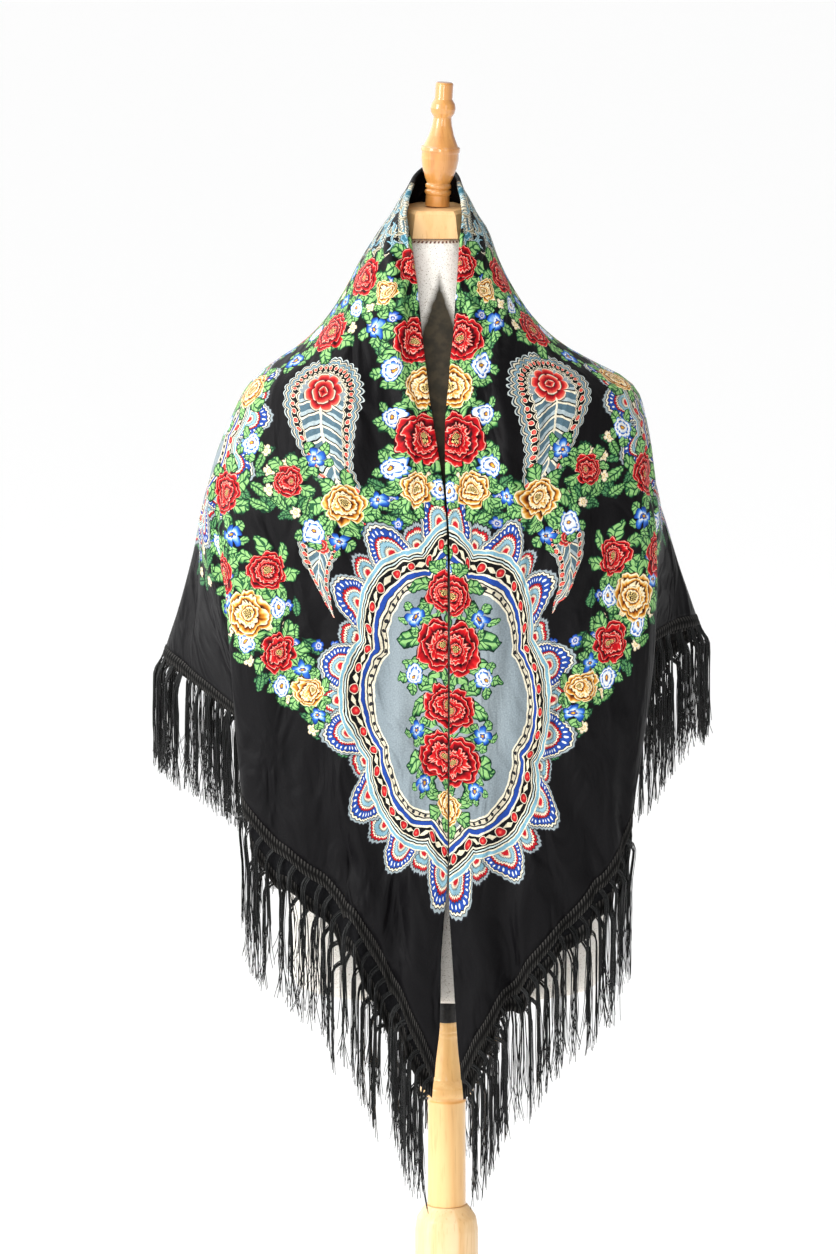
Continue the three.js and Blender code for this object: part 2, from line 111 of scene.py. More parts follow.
def work(kind, *values):
    """Arithmetic on measures and plain numbers."""
    return Measure(step_on("Math", values, operation=kind).outputs[0])


def parted(value):
    """The three parts of a place or a colour."""
    return [Measure(out) for out in step_on("SeparateXYZ", (value,)).outputs]


def ramped(value, low, high, low_gives, high_gives, way="LINEAR"):
    """Carries a measure from one range to another and holds it at the ends."""
    step = step_on("MapRange", (value, low, high, low_gives, high_gives), interpolation_type=way)
    return Measure(step.outputs["Result"])


room = bpy.data.worlds.new("white room")
room.use_nodes = True
room_nodes = room.node_tree.nodes
toward_right = parted(Measure(room_nodes.new("ShaderNodeTexCoord").outputs["Generated"]))[0]
feed(room_nodes["Background"].inputs["Strength"],
     ramped(toward_right, LEFT_EDGE, RIGHT_EDGE, BRIGHT_SIDE, DIM_SIDE, "SMOOTHSTEP"))
room_nodes["Background"].inputs["Color"].default_value = (1, 1, 1, 1)
bpy.context.scene.world = room


def new_material(name, roughness, **sockets):
    """A named finish whose even values sit on the shader's own sockets."""
    material = bpy.data.materials.new(name)
    material.use_nodes = True
    shader = material.node_tree.nodes["Principled BSDF"]
    shader.inputs["Roughness"].default_value = roughness
    for socket, value in sockets.items():
        shader.inputs[socket.replace("_", " ")].default_value = value
    return material, material.node_tree, shader


def mesh_piece(name, mesh_builder, material):
    """Turns finished mesh code into a named object at the origin."""
    mesh = bpy.data.meshes.new(name)
    mesh_builder.to_mesh(mesh)
    mesh_builder.free()
    piece = bpy.data.objects.new(name, mesh)
    bpy.context.scene.collection.objects.link(piece)
    mesh.materials.append(material)
    mesh.shade_smooth()
    return piece


floor_mesh = bmesh.new()
bmesh.ops.create_grid(floor_mesh, x_segments=8, y_segments=8, size=30)
floor_paint, _, _ = new_material("floor paint", 0.9, Base_Color=WHITE, Emission_Color=WHITE,
                                 Emission_Strength=0.06)
floor = mesh_piece("floor", floor_mesh, floor_paint)

FORM_MIDDLE = Vector((0, 0, 1))
for name, place, size, power in (
    ("softbox left", (-3.3, -2.2, 2.3), 1.5, 66),
    ("softbox right", (2.2, -3.8, 2.2), 1.4, 12),
    ("softbox front", (-0.4, -5.4, 1.9), 1.0, 30),
    ("softbox above", (-0.4, 0.6, 3.6), 2.0, 22),
):
    lamp = bpy.data.objects.new(name, bpy.data.lights.new(name, "AREA"))
    lamp.data.size = size
    lamp.data.energy = power
    lamp.location = place
    lamp.rotation_euler = (Vector(place) - FORM_MIDDLE).to_track_quat("Z", "Y").to_euler()
    bpy.context.scene.collection.objects.link(lamp)

# The stand is turned from pale beech in three pieces, a round base, a thick lower post and a slimmer upper
# post with a ring and a bell under the form. Each is finished with clear varnish and glued into the next.
HONEY = ((0.48, 0.175, 0.036, 1), (0.82, 0.390, 0.100, 1))
PALE = ((0.88, 0.54, 0.23, 1), (0.98, 0.72, 0.41, 1))
TAN = ((0.80, 0.43, 0.13, 1), (0.95, 0.62, 0.26, 1))


def object_place(tree):
    """Where a point lies in the whole, in metres."""
    return Measure(tree.nodes.new("ShaderNodeTexCoord").outputs["Object"])


def noise(place, scale, detail=2.0, distortion=0.0, out="Fac"):
    """Soft random mottling."""
    step = step_on("TexNoise", (place,))
    for name, value in (("Scale", scale), ("Detail", detail), ("Distortion", distortion)):
        step.inputs[name].default_value = value
    return Measure(step.outputs[out])


def vector(kind, *values, out=0):
    """Arithmetic on places; out is 1 for a length or a product."""
    return Measure(step_on("VectorMath", values, operation=kind).outputs[out])


def choose(kind, share, low, high, blend="MIX"):
    """Low where the share is nothing and high where it is one."""
    tree = next(value.socket.id_data for value in (share, low, high) if isinstance(value, Measure))
    step = tree.nodes.new("ShaderNodeMix")
    step.data_type, step.blend_type = kind, blend
    first = {"FLOAT": 2, "VECTOR": 4, "RGBA": 6}[kind]
    for place, value in ((0, share), (first, low), (first + 1, high)):
        feed(step.inputs[place], value)
    return Measure(step.outputs[{"FLOAT": 0, "VECTOR": 1, "RGBA": 2}[kind]])


def tint(code):
    """A colour from its everyday six-letter code."""
    parts = [int(code[k:k + 2], 16) / 255 for k in (0, 2, 4)]
    return tuple(p / 12.92 if p <= 0.04045 else ((p + 0.055) / 1.055) ** 2.4 for p in parts) + (1,)


def dyes(value, stops, sharp=False):
    """Turns a measure into colour through a row of colours or codes."""
    step = step_on("ValToRGB", (value,))
    step.color_ramp.interpolation = "CONSTANT" if sharp else "LINEAR"
    row = step.color_ramp.elements
    while len(row) > 1:
        row.remove(row[-1])
    for k, (position, colour) in enumerate(stops):
        spot = row.new(position) if k else row[0]
        spot.position = position
        spot.color = tint(colour) if isinstance(colour, str) else colour
    return Measure(step.outputs["Color"])


def raise_by(shader, height, distance, strength=1.0):
    """Gives a finish its fine relief."""
    step = shader.id_data.nodes.new("ShaderNodeBump")
    step.inputs["Strength"].default_value = strength
    step.inputs["Distance"].default_value = distance
    feed(step.inputs["Height"], height)
    feed(shader.inputs["Normal"], Measure(step.outputs["Normal"]))


def wood_finish(name, tones, roughness, coat, stretched=(1, 1, 0.07)):
    """Straight grain in two tones with darker pores, under varnish. It runs up the piece as a rule."""
    material, tree, shader = new_material(name, roughness, Coat_Weight=coat, Coat_Roughness=0.1)
    place = vector("MULTIPLY", object_place(tree), stretched)
    grain = dyes(noise(place, 60, detail=5, distortion=0.6), [(0.32, tones[0]), (0.68, tones[1])])
    pores = noise(place, 420)
    dots = dyes(pores, [(0.30, (0.76, 0.64, 0.50, 1)), (0.42, (1, 1, 1, 1))])
    feed(shader.inputs["Base Color"], choose("RGBA", 0.4, grain, dots, "MULTIPLY"))
    raise_by(shader, pores, 0.0004, 0.3)
    return material


def turned(name, profile, material, rounding=0.0012, foot=Vector(), lean=0.0):
    """A lathe shape from (radius, height) pairs in millimetres, with its corners eased."""
    shape = bmesh.new()
    rim = [shape.verts.new((radius / 1000, 0, height / 1000)) for radius, height in profile]
    for low, high in zip(rim, rim[1:]):
        shape.edges.new((low, high))
    bmesh.ops.bevel(shape, geom=rim[1:-1], offset=rounding, offset_type="OFFSET", affect="VERTICES",
                    segments=3, profile=0.5, material=-1, clamp_overlap=True)
    bmesh.ops.spin(shape, geom=shape.verts[:] + shape.edges[:], cent=(0, 0, 0), axis=(0, 0, 1),
                   angle=2 * math.pi, steps=96, use_merge=True)
    bmesh.ops.remove_doubles(shape, verts=shape.verts[:], dist=1e-6)
    bmesh.ops.recalc_face_normals(shape, faces=shape.faces[:])
    bmesh.ops.rotate(shape, verts=shape.verts[:], cent=(0, 0, 0), matrix=Matrix.Rotation(lean, 3, "Y"))
    bmesh.ops.translate(shape, verts=shape.verts[:], vec=foot)
    return mesh_piece(name, shape, material)


pale_beech = wood_finish("pale beech", PALE, 0.42, 0.4)
beech_board = wood_finish("pale beech board", PALE, 0.42, 0.4, stretched=(0.07, 1, 1))
honey_beech = wood_finish("honey varnished beech", HONEY, 0.28, 1.0)
tan_beech = wood_finish("tan varnished beech", TAN, 0.36, 0.7)
base = turned("stand_foot", [
    (0, 0), (190, 0), (194, 4), (194, 16), (188, 24), (176, 27), (120, 31), (70, 36), (50, 41), (48, 46),
    (0, 46),
], beech_board)
lower_post = turned("stand_column", [
    (0, 46.3), (30, 46.3), (30, 66), (36, 74), (36, 84), (29, 94), (32, 140), (32, 396), (30, 408),
    (25, 416), (21, 421), (0, 421),
], pale_beech)
upper_post = turned("stand_neck", [
    (0, 421.3), (19.6, 421.3), (19, 524), (19.6, 529), (17.4, 530.5), (17.4, 534), (25, 535.5), (27, 540),
    (26.6, 545), (22.5, 549), (18.2, 552), (17.2, 557), (15.6, 566), (14, 576), (12.4, 588), (11.6, 595),
    (12.2, 596.5), (11.3, 600), (11.9, 601.5), (10.6, 606), (10.6, 627), (0, 627),
], tan_beech, rounding=0.0007)
for piece, node in ((base, "stand_base"), (lower_post, "lower_post"), (upper_post, "upper_post")):
    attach(piece, "root")
    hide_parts(node)

# The socket is a short black steel tube, pressed into the underside of the form. Its lower end is a sleeve
# that slips over the top of the post.
black_steel, steel_tree, steel_shader = new_material("black steel", 0.35, Metallic=0.8)
rust = noise(object_place(steel_tree), 300)
feed(steel_shader.inputs["Base Color"],
     dyes(rust, [(0, (0.012, 0.012, 0.013, 1)), (1, (0.05, 0.048, 0.046, 1))]))
socket_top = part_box("socket")[1][2] * 1000
sleeve = turned("steel_sleeve", [
    (0, 627.4), (10.9, 627.4), (10.9, 611), (12.2, 611), (12.4, 612), (12.4, socket_top), (0, socket_top),
], black_steel, rounding=0.0003)
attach(sleeve, "root")
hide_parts("socket")

# The dress form is papier mache covered in off-white linen, tacked round its neck. Inside the shawl's opening
# its chest carries a darker wedge of painted shade, where the shawl's front edges close in over it.
shape = bmesh.new()
shape.from_mesh(nodes["dress_form"].data)
bmesh.ops.remove_doubles(shape, verts=shape.verts[:], dist=1e-5)
linen, linen_tree, linen_shader = new_material("linen", 0.92, Sheen_Weight=0.15)
form = mesh_piece("linen_form", shape, linen)
round_form = form.modifiers.new("round", "SUBSURF")
round_form.levels = round_form.render_levels = 2


def within(value):
    """Holds a measure between nothing and one."""
    return work("MINIMUM", work("MAXIMUM", value, 0.0), 1.0)


linen_place = object_place(linen_tree)
across_form, through_form, up_form = parted(linen_place)
weave = noise(linen_place, 900, detail=3)
flecks = dyes(weave, [(0.35, (0.50, 0.44, 0.35, 1)), (0.43, (0.97, 0.93, 0.86, 1))])
ragged = noise(linen_place, 110)
# the wedge is painted shade: a dark speckled taupe laid over the linen where shade falls between the shawl's
# front edges
WEDGE_TOP, WEDGE_SLOPE, WEDGE_FOOT = 1.378, 0.36, 1.02
deep = ((WEDGE_TOP - up_form) * WEDGE_SLOPE - work("ABSOLUTE", across_form + 0.008)) * 140 + ragged * 0.5
painted_shade_wedge = within(deep) * work("LESS_THAN", through_form, 0) * within((up_form - WEDGE_FOOT) * 12)
painted_shade_colour = dyes(ragged, [(0.4, (0.026, 0.021, 0.012, 1)), (0.62, (0.050, 0.038, 0.021, 1))])
tack_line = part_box("dress_form")[1][2] - 0.0035
tacks = work("GREATER_THAN", work("SINE", work("ARCTAN2", across_form, through_form) * 76), 0.1)
tacks = tacks * work("LESS_THAN", work("ABSOLUTE", up_form - tack_line), 0.0009)
# the linen's own specks, with the wedge's painted shade over them
linen_with_painted_shade = choose("RGBA", painted_shade_wedge, flecks, painted_shade_colour)
feed(linen_shader.inputs["Base Color"], choose("RGBA", tacks, linen_with_painted_shade, (0.16, 0.05, 0.03, 1)))
raise_by(linen_shader, weave, 0.0006, 0.25)
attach(form, "root")
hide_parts("dress_form")

# The neck block is an eight-sided plug of pale pine with chamfered edges. It is glued into the top of the
# form, closes it, and takes the finial's peg.
pale_pine = wood_finish("pale pine", ((0.80, 0.45, 0.17, 1), (0.98, 0.64, 0.31, 1)), 0.5, 0.15)
nodes["neck_block"].data.materials.clear()
nodes["neck_block"].data.materials.append(pale_pine)

# The finial is turned from beech as a bulb with a slim neck, a ball and a short tip, and varnished a warm
# honey colour. It stands on a peg in the neck block and leans a little on it.
FINIAL_LEAN = math.radians(3.4)
BALL, BALL_HEIGHT = 12.5, 97
ball = [(BALL * math.cos(math.radians(turn)), BALL_HEIGHT + BALL * math.sin(math.radians(turn)))
        for turn in (-44, -22, 0, 22, 44)]
finial_foot = Vector((-0.010, 0, 1.4373 + 0.0123 * math.sin(FINIAL_LEAN)))
finial = turned("finial_turning", [
    (0, 0), (12.3, 0), (11.8, 10.5), (13.2, 12.5), (13.2, 15), (11.4, 16.8), (13, 18.5), (13, 21),
    (11.6, 22.6), (13.6, 27), (17.2, 38), (18.6, 47), (18.4, 53), (19.4, 55), (19.2, 58.5), (17, 59.8),
    (12.6, 70), (9.9, 80), (8.9, 87.5), *ball, (8.8, 106), (8.8, 121), (7.8, 122.7), (0, 122.7),
], honey_beech, rounding=0.0006, foot=finial_foot, lean=FINIAL_LEAN)
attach(finial, "root")
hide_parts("finial")

# The shawl is one square of thin wool, 1.4 m a side, folded nearly on its diagonal and laid round the neck of
# the form like a collar, so that its folded edge runs down both fronts and its points hang before and behind.
SIDE = 1.4                      # of the flat square, without its braid and fringe
CLOTH_THICK = 0.0010
OUTER_DEPTH, UNDER_DEPTH = 0.00075, 0.00475     # how deep the middle of each layer lies below the outer face
YOKE_FLOOR = 1240               # the height at which the cloth leaves the shoulders and hangs free
LEAVING = 1.35                  # how slowly the cloth leaves the shape of the shoulders for that of the hem
MEETING_REACH = 110             # how far beside the folded edge the fronts are drawn across
# the outer face over the shoulders: height, left, right, front, back, left edge, right edge
YOKE = np.array([
    (1480, -31, 11, -38, 54, -30, 8), (1456, -40, 16, -38, 55, -38, 13), (1444, -48, 23, -42, 57, -39, 14),
    (1430, -56, 30, -52, 60, -39, 14), (1413, -68, 41, -60, 66, -35, 12), (1383, -87, 52, -69, 80, -31, 10),
    (1352, -103, 68, -80, 92, -28, 8), (1322, -123, 89, -91, 103, -25, 6),
    (1297, -148, 117, -100, 111, -22, 3), (1280, -174, 147, -105, 115, -20, 2),
    (1262, -195, 181, -111, 119, -18, 0), (1240, -209, 195, -119, 123, -15, -2),
    (1174, -230, 204, -137, 129, -8, -4), (1110, -240, 212, -144, 133, -6, -2),
], float)[::-1]
# each hem, fold by fold from the front point to the back: round, across, depth, height, under layer's show
HEM_LEFT = np.array([
    (0, -12, -141, 600, 12), (9, -36, -146, 653, 17), (17, -62, -137, 707, 24), (26, -96, -138, 760, 26),
    (36, -121, -126, 784, 27), (52, -170, -116, 824, 26), (64, -204, -92, 862, 22),
    (70, -195, -70, 888, 16), (75, -180, -50, 908, 12), (81, -205, -24, 932, 8), (90, -250, 28, 960, 5),
    (99, -284, 86, 979, 5), (107, -268, 134, 970, 8), (114, -232, 142, 952, 12), (121, -212, 172, 928, 16),
    (128, -188, 192, 902, 20), (136, -160, 174, 874, 23), (143, -138, 144, 846, 25),
    (150, -114, 166, 810, 27), (157, -90, 194, 772, 27), (164, -68, 184, 728, 27), (170, -52, 156, 684, 27),
    (175, -36, 166, 638, 27), (180, -8, 188, 568, 27),
], float)
HEM_RIGHT = np.array([
    (0, 14, -141, 597, 12), (8, 34, -146, 637, 12), (16, 58, -138, 676, 13), (25, 90, -137, 716, 15),
    (35, 121, -126, 749, 18), (47, 152, -114, 782, 20), (58, 178, -96, 822, 20), (66, 188, -74, 868, 13),
    (71, 188, -54, 922, 8), (76, 188, -34, 962, 5), (82, 197, -8, 994, 3), (88, 214, 22, 1009, 3),
    (96, 248, 68, 1014, 3), (104, 250, 112, 1004, 6), (111, 222, 132, 980, 10), (118, 202, 162, 950, 15),
    (126, 176, 188, 914, 20), (134, 148, 172, 880, 23), (141, 126, 144, 846, 25), (149, 104, 166, 806, 27),
    (156, 80, 192, 764, 27), (163, 56, 182, 716, 27), (169, 40, 154, 672, 27), (174, 22, 164, 626, 27),
    (180, -8, 188, 568, 27),
], float)
# how far the cloth stands out halfway down: round, swell
SWELL_LEFT = np.array([(0, 0), (40, 0), (64, 6), (78, 14), (99, -4), (180, 0)], float)
SWELL_RIGHT = np.array([(0, 0), (40, 4), (64, 16), (76, 14), (95, -5), (180, 0)], float)
# how high the folded edge lies: round, height
COLLAR = np.array([(0, 1445), (90, 1464), (180, 1476)], float)
# how far the two front edges are drawn across to meet each other: height, left, right
MEETING = np.array([
    (560, 0, 0), (592, 0, -2.5), (634, 4, -4), (670, 4.5, -5), (705, 4.5, -6), (740, 6.5, -7),
    (790, 9.8, -5.8), (860, 9.3, -3.5), (960, 8.4, -0.7), (1060, 7.0, 1.8), (1140, 5.5, 2.8),
    (1200, 2.5, 1.0), (1260, 0, 0), (1480, 0, 0),
], float)


def read(keys, values, at):
    """Reads sizes smoothly between their stations."""
    values = np.asarray(values, float)
    slopes = np.zeros_like(values)
    steps = (keys[2:] - keys[:-2]).reshape((-1,) + (1,) * (values.ndim - 1))
    slopes[1:-1] = (values[2:] - values[:-2]) / steps
    at = np.clip(at, keys[0], keys[-1])
    low = np.clip(np.searchsorted(keys, at, side="right") - 1, 0, len(keys) - 2)
    span = keys[low + 1] - keys[low]
    share = (at - keys[low]) / span
    if values.ndim > 1:
        span, share = span[..., None], share[..., None]
    square, cube = share ** 2, share ** 3
    return ((2 * cube - 3 * square + 1) * values[low] + (cube - 2 * square + share) * span * slopes[low]
            + (3 * square - 2 * cube) * values[low + 1] + (cube - square) * span * slopes[low + 1])


def along_hem(table, share):
    """Where the hem hangs at shares of the way from the front point to the back point."""
    places = table[:, 1:4]
    padded = np.vstack((2 * places[0] - places[1], places, 2 * places[-1] - places[-2]))
    at = share * (len(places) - 1)
    low = np.clip(at.astype(int), 0, len(places) - 2)
    four = [padded[low + step] for step in range(4)]
    gaps = [np.sqrt(np.linalg.norm(b - a, axis=-1))[..., None] for a, b in zip(four, four[1:])]
    leave = ((four[1] - four[0]) / gaps[0] - (four[2] - four[0]) / (gaps[0] + gaps[1])
             + (four[2] - four[1]) / gaps[1]) * gaps[1]
    meet = ((four[2] - four[1]) / gaps[1] - (four[3] - four[1]) / (gaps[1] + gaps[2])
            + (four[3] - four[2]) / gaps[2]) * gaps[1]
    t = (at - low)[..., None]
    rise = four[2] - four[1]
    return (four[1] + leave * t + (3 * rise - 2 * leave - meet) * t ** 2 + (leave + meet - 2 * rise) * t ** 3)


def soft(value):
    """A share that starts and ends gently."""
    value = np.clip(value, 0, 1)
    return value * value * (3 - 2 * value)


def on_shoulders(left, round_angle, height):
    """The oval in which the cloth lies at one height, from each front edge to the spine."""
    turn = np.radians(round_angle)
    column = [read(YOKE[:, 0], YOKE[:, k], height) for k in range(1, 7)]
    reach = column[0] if left else column[1]
    edge = column[4] if left else column[5]
    front = round_angle < 90
    inner = np.where(front, edge, (column[0] + column[1]) / 2)
    depth = np.where(front, column[2], column[3])
    across = inner + (reach - inner) * np.sin(turn) ** 0.94
    return np.stack((across, depth * np.abs(np.cos(turn)) ** 0.88, height), -1)


def on_edge(table, left, height):
    """How far across the folded front edge lies at one height."""
    fall = np.clip((YOKE_FLOOR - height) / (YOKE_FLOOR - table[0, 3]), 0, 1) ** LEAVING
    edge = read(YOKE[:, 0], YOKE[:, 5 if left else 6], height)
    return edge * (1 - fall) + table[0, 1] * fall


def drape_half(left, shares, falls):
    """The outer face of one half in metres, and how much of the under layer shows. Falls run from 0 at the
    fold to 1 on the shoulders and 2 at the hem."""
    table = HEM_LEFT if left else HEM_RIGHT
    rows = np.arange(len(table), dtype=float)
    round_angle = read(rows, table[:, 0], shares * rows[-1])
    shows = read(rows, table[:, 4], shares * rows[-1])
    hem = along_hem(table, shares)
    swell = SWELL_LEFT if left else SWELL_RIGHT
    swell = read(swell[:, 0], swell[:, 1], round_angle)
    top = read(COLLAR[:, 0], COLLAR[:, 1], round_angle)
    fall = np.clip(falls - 1, 0, 1)[None, :]
    laid = np.clip(falls, 0, 1)[None, :] ** 1.1
    height = np.where(falls[None, :] <= 1, top[:, None] + (YOKE_FLOOR - top[:, None]) * laid,
                      YOKE_FLOOR + (hem[:, 2:] - YOKE_FLOOR) * fall)
    lying = on_shoulders(left, np.broadcast_to(round_angle[:, None], height.shape), height)
    weight = (fall ** LEAVING)[..., None]
    hanging = np.stack((np.broadcast_to(hem[:, :1], height.shape), np.broadcast_to(hem[:, 1:2], height.shape),
                        height), -1)
    face = lying * (1 - weight) + hanging * weight
    outward = face * np.array((1, 1, 0))
    outward /= np.linalg.norm(outward, axis=-1, keepdims=True)
    face = face + outward * (swell[:, None] * 4 * fall * (1 - fall))[..., None]
    meets = read(MEETING[:, 0], MEETING[:, 1 if left else 2], face[:1, :, 2])
    sideways = np.abs(face[..., 0] - on_edge(table, left, face[..., 2]))
    near = np.clip(1 - sideways / MEETING_REACH, 0, 1) * (round_angle[:, None] < 60)
    face[..., 0] += meets * soft(near)
    return face / 1000, shows / 1000


def drape(columns, falls):
    """Both halves in one grid, from the left front edge round the back to the right one. A column's number
    runs from 0 at the left edge through 1 at the spine to 2 at the right edge."""
    left, left_shows = drape_half(True, columns[columns <= 1], falls)
    right, right_shows = drape_half(False, 2 - columns[columns > 1], falls)
    return np.concatenate((left, right)), np.concatenate((left_shows, right_shows))


# the creases, one by one: facing x, facing y, then from (along, height) to (along, height), width and
# depth; each leans over and is steeper towards smaller x or y, or towards larger where the width is negative
CREASES = [
    (0, -1, -44, 1450, -42, 1330, 5, -8), (0, -1, -64, 1430, -58, 1290, 6, -11),
    (0, -1, -57, 1310, -41, 1150, 7, -9), (0, -1, 15, 1440, 24, 1325, -5, -5.4),
    (0, -1, 24, 1330, 29, 1230, -7, -4.7), (0, -1, 50, 1425, 60, 1290, -6, -11),
    (0, -1, 60, 1320, 66, 1140, -7, -10), (0, -1, 88, 1345, 155, 1275, -9, -6.8),
    (0, -1, -92, 1340, -150, 1255, 9, -6.1), (0, -1, -112, 1250, -122, 1110, 11, -5.2),
    (0, -1, -46, 1180, -78, 960, 10, 6.8), (0, -1, -90, 1120, -99, 860, 12, 5.4),
    (0, -1, -157, 1060, -156, 800, -9, 8.6), (0, -1, -130, 930, -124, 780, 11, 5.4),
    (0, -1, -99, 830, -90, 665, -8, 7.6), (0, -1, -50, 800, -46, 615, -9, 10),
    (0, -1, -70, 760, -66, 650, 9, -3.9), (0, -1, -122, 842, -100, 790, 10, 4.6),
    (0, -1, 50, 1150, 52, 900, 11, 6.8), (0, -1, 53, 860, 56, 615, 9, 10.5),
    (0, -1, 84, 900, 110, 740, 9, 6.5), (0, -1, 96, 1160, 104, 940, -12, 5.4),
    (0, -1, 124, 900, 152, 775, -9, 6.5), (0, -1, 173, 1080, 172, 790, 9, 7.6),
    (0, -1, 140, 1180, 146, 960, 13, 6.8), (0, -1, 24, 760, 27, 640, 8, -3.2),
    (0, -1, -225, 1080, -262, 970, -9, 8.6), (0, -1, 205, 1120, 225, 1010, 10, 7.6),
    (0, -1, -30, 1130, -38, 900, 8, 4.5), (0, -1, -76, 1290, -104, 1130, -9, -5.5),
    (0, -1, -128, 1120, -142, 980, 10, 6.5), (0, -1, -172, 1170, -186, 1000, 10, 6.0),
    (0, -1, 30, 1180, 36, 1010, -8, 4.5), (0, -1, 84, 1240, 92, 1080, 9, -5.0),
    (0, -1, 112, 1080, 120, 900, -10, 6.5), (0, -1, 160, 1200, 176, 1060, -10, 6.0),
    (0, -1, -60, 900, -74, 790, 8, 4.5), (0, -1, 70, 1000, 78, 850, 8, 5.0),
    (0, -1, -20, 1000, -24, 800, -7, 3.5), (0, -1, 20, 980, 22, 820, 7, 3.5),
    (0, 1, -30, 1440, -46, 1000, 14, 5.4), (0, 1, 22, 1440, 40, 980, -13, 5.4),
    (0, 1, -90, 1300, -110, 960, 15, 6.5), (0, 1, 80, 1310, 110, 960, -15, 6.5),
    (0, 1, -4, 1200, -10, 700, 12, -5.2), (0, 1, 52, 1050, 60, 760, 12, 6.5),
    (0, 1, -60, 1000, -66, 740, -12, 6.5), (-1, 0, -66, 1150, -54, 900, -13, 5.4),
    (1, 0, -54, 1180, -44, 950, 12, 5.4), (-1, 0, 10, 1200, 40, 1000, 14, 6.5),
    (-1, 0, -50, 1180, -40, 960, -12, 5.4), (-1, 0, 90, 1160, 110, 980, 12, 5.4),
    (1, 0, 12, 1200, 42, 1040, 14, 6.5), (1, 0, -48, 1190, -36, 1000, -12, 5.4),
    (1, 0, 84, 1180, 104, 1020, 12, 5.4),
]
FRONT_SHARE = 0.32              # of each half's columns, the front panel with its tucked side
FRONT_COLUMNS, REAR_COLUMNS = 56, 72
YOKE_STEPS, SKIRT_STEPS = 28, 52
EDGE_STEPS = (0.05, 0.15, 0.32)  # finer steps in the turn of the folded edge
CREASE_SIDES = 1.9, 0.5          # how steep a crease is on its one side and on its other
CREASE_LEAN = 0.55               # how far a crease leans over, for its depth
EDGE_CALM = 0.018                # how far from the folded edge the creases reach their full depth
BELOW_STEPS = 3                  # rows of the under layer that hang below the outer one
EDGE_SHOWS, EDGE_EASE = 0.015, 0.03     # how much of it shows at the folded edges, and how far beside them
OUTER_REACH, UNDER_REACH = 0.971, 1.009         # from the folded edge to each layer's back corner, laid flat


def facing(grid):
    """The outward direction of the cloth at each place of a grid."""
    way = np.cross(np.gradient(grid, axis=0), np.gradient(grid, axis=1))
    return way / np.maximum(np.linalg.norm(way, axis=-1, keepdims=True), 1e-12)


def lengths(path):
    """How far along a path each of its places lies."""
    return np.concatenate(((0,), np.cumsum(np.linalg.norm(np.diff(path, axis=0), axis=-1))))


def crease(grid):
    """Presses the listed creases into the cloth, each as a soft trough or ridge that fades at its ends
    and beside the folded edges."""
    way = facing(grid)
    move, slide = np.zeros((2,) + grid.shape[:2])
    across = np.stack([lengths(grid[:, row]) for row in range(grid.shape[1])], 1)
    inside = np.clip(np.minimum(across, across[-1:] - across) / EDGE_CALM, 0, 1)
    for face_x, face_y, start, top, end, foot, width, depth in CREASES:
        seen = np.clip(1.5 * (way[..., 0] * face_x + way[..., 1] * face_y) - 0.2, 0, 1)
        along = grid[..., 0] if face_y else grid[..., 1]
        share = (top / 1000 - grid[..., 2]) / ((top - foot) / 1000)
        middle = (start + (end - start) * np.clip(share, -0.2, 1.2)) / 1000
        wander = 0.006 * np.sin(share * 5 + start) + 0.003 * np.sin(share * 11 + end)
        fade = soft(np.minimum(share + 0.15, 1.15 - share) / 0.3) * inside
        grow = 0.75 + 0.25 * np.sin(share * 5 + start)
        aside = (along - middle - wander) / (width / 1000)
        near = np.exp(-(aside * np.where(aside < 0, *CREASE_SIDES)) ** 2)
        move -= depth / 1000 * near * fade * seen * grow
        slide += CREASE_LEAN * abs(depth) / 1000 * near * fade * seen * np.sign(width)
    level = np.stack((-way[..., 1], way[..., 0], 0 * move), -1)
    return grid + way * move[..., None] + level * slide[..., None]


def steps(count, start, end):
    """Evenly spaced places with finer ones beside the first, where the cloth turns over."""
    even = np.linspace(start, end, count + 1)
    fine = start + np.array(EDGE_STEPS) * (even[1] - even[0])
    return np.concatenate((even[:1], fine, even[1:]))


half_columns = np.concatenate((steps(FRONT_COLUMNS, 0, FRONT_SHARE),
                               np.linspace(FRONT_SHARE, 1, REAR_COLUMNS + 1)[1:]))
columns = np.concatenate((half_columns, 2 - half_columns[-2::-1]))
falls = np.concatenate((steps(YOKE_STEPS, 0, 1), np.linspace(1, 2, SKIRT_STEPS + 1)[1:]))
face, shows = drape(columns, falls)
face = crease(face)
outward = facing(face)

# the depth of each layer's middle: constant, but brought together in a half round at the folded edge
across = np.stack([lengths(face[:, row]) for row in range(len(falls))], 1)
down = np.stack([lengths(face[column]) for column in range(len(columns))])
from_edge = np.minimum(np.minimum(across, across[-1:] - across), down)
turn_radius = (UNDER_DEPTH - OUTER_DEPTH) / 2
rounding = np.sqrt(1 - (1 - np.clip(from_edge / turn_radius, 0, 1)) ** 2)
middle_depth = (UNDER_DEPTH + OUTER_DEPTH) / 2
outer_layer = face - outward * (middle_depth - turn_radius * rounding)[..., None]
under_layer = face - outward * (middle_depth + turn_radius * rounding)[..., None]

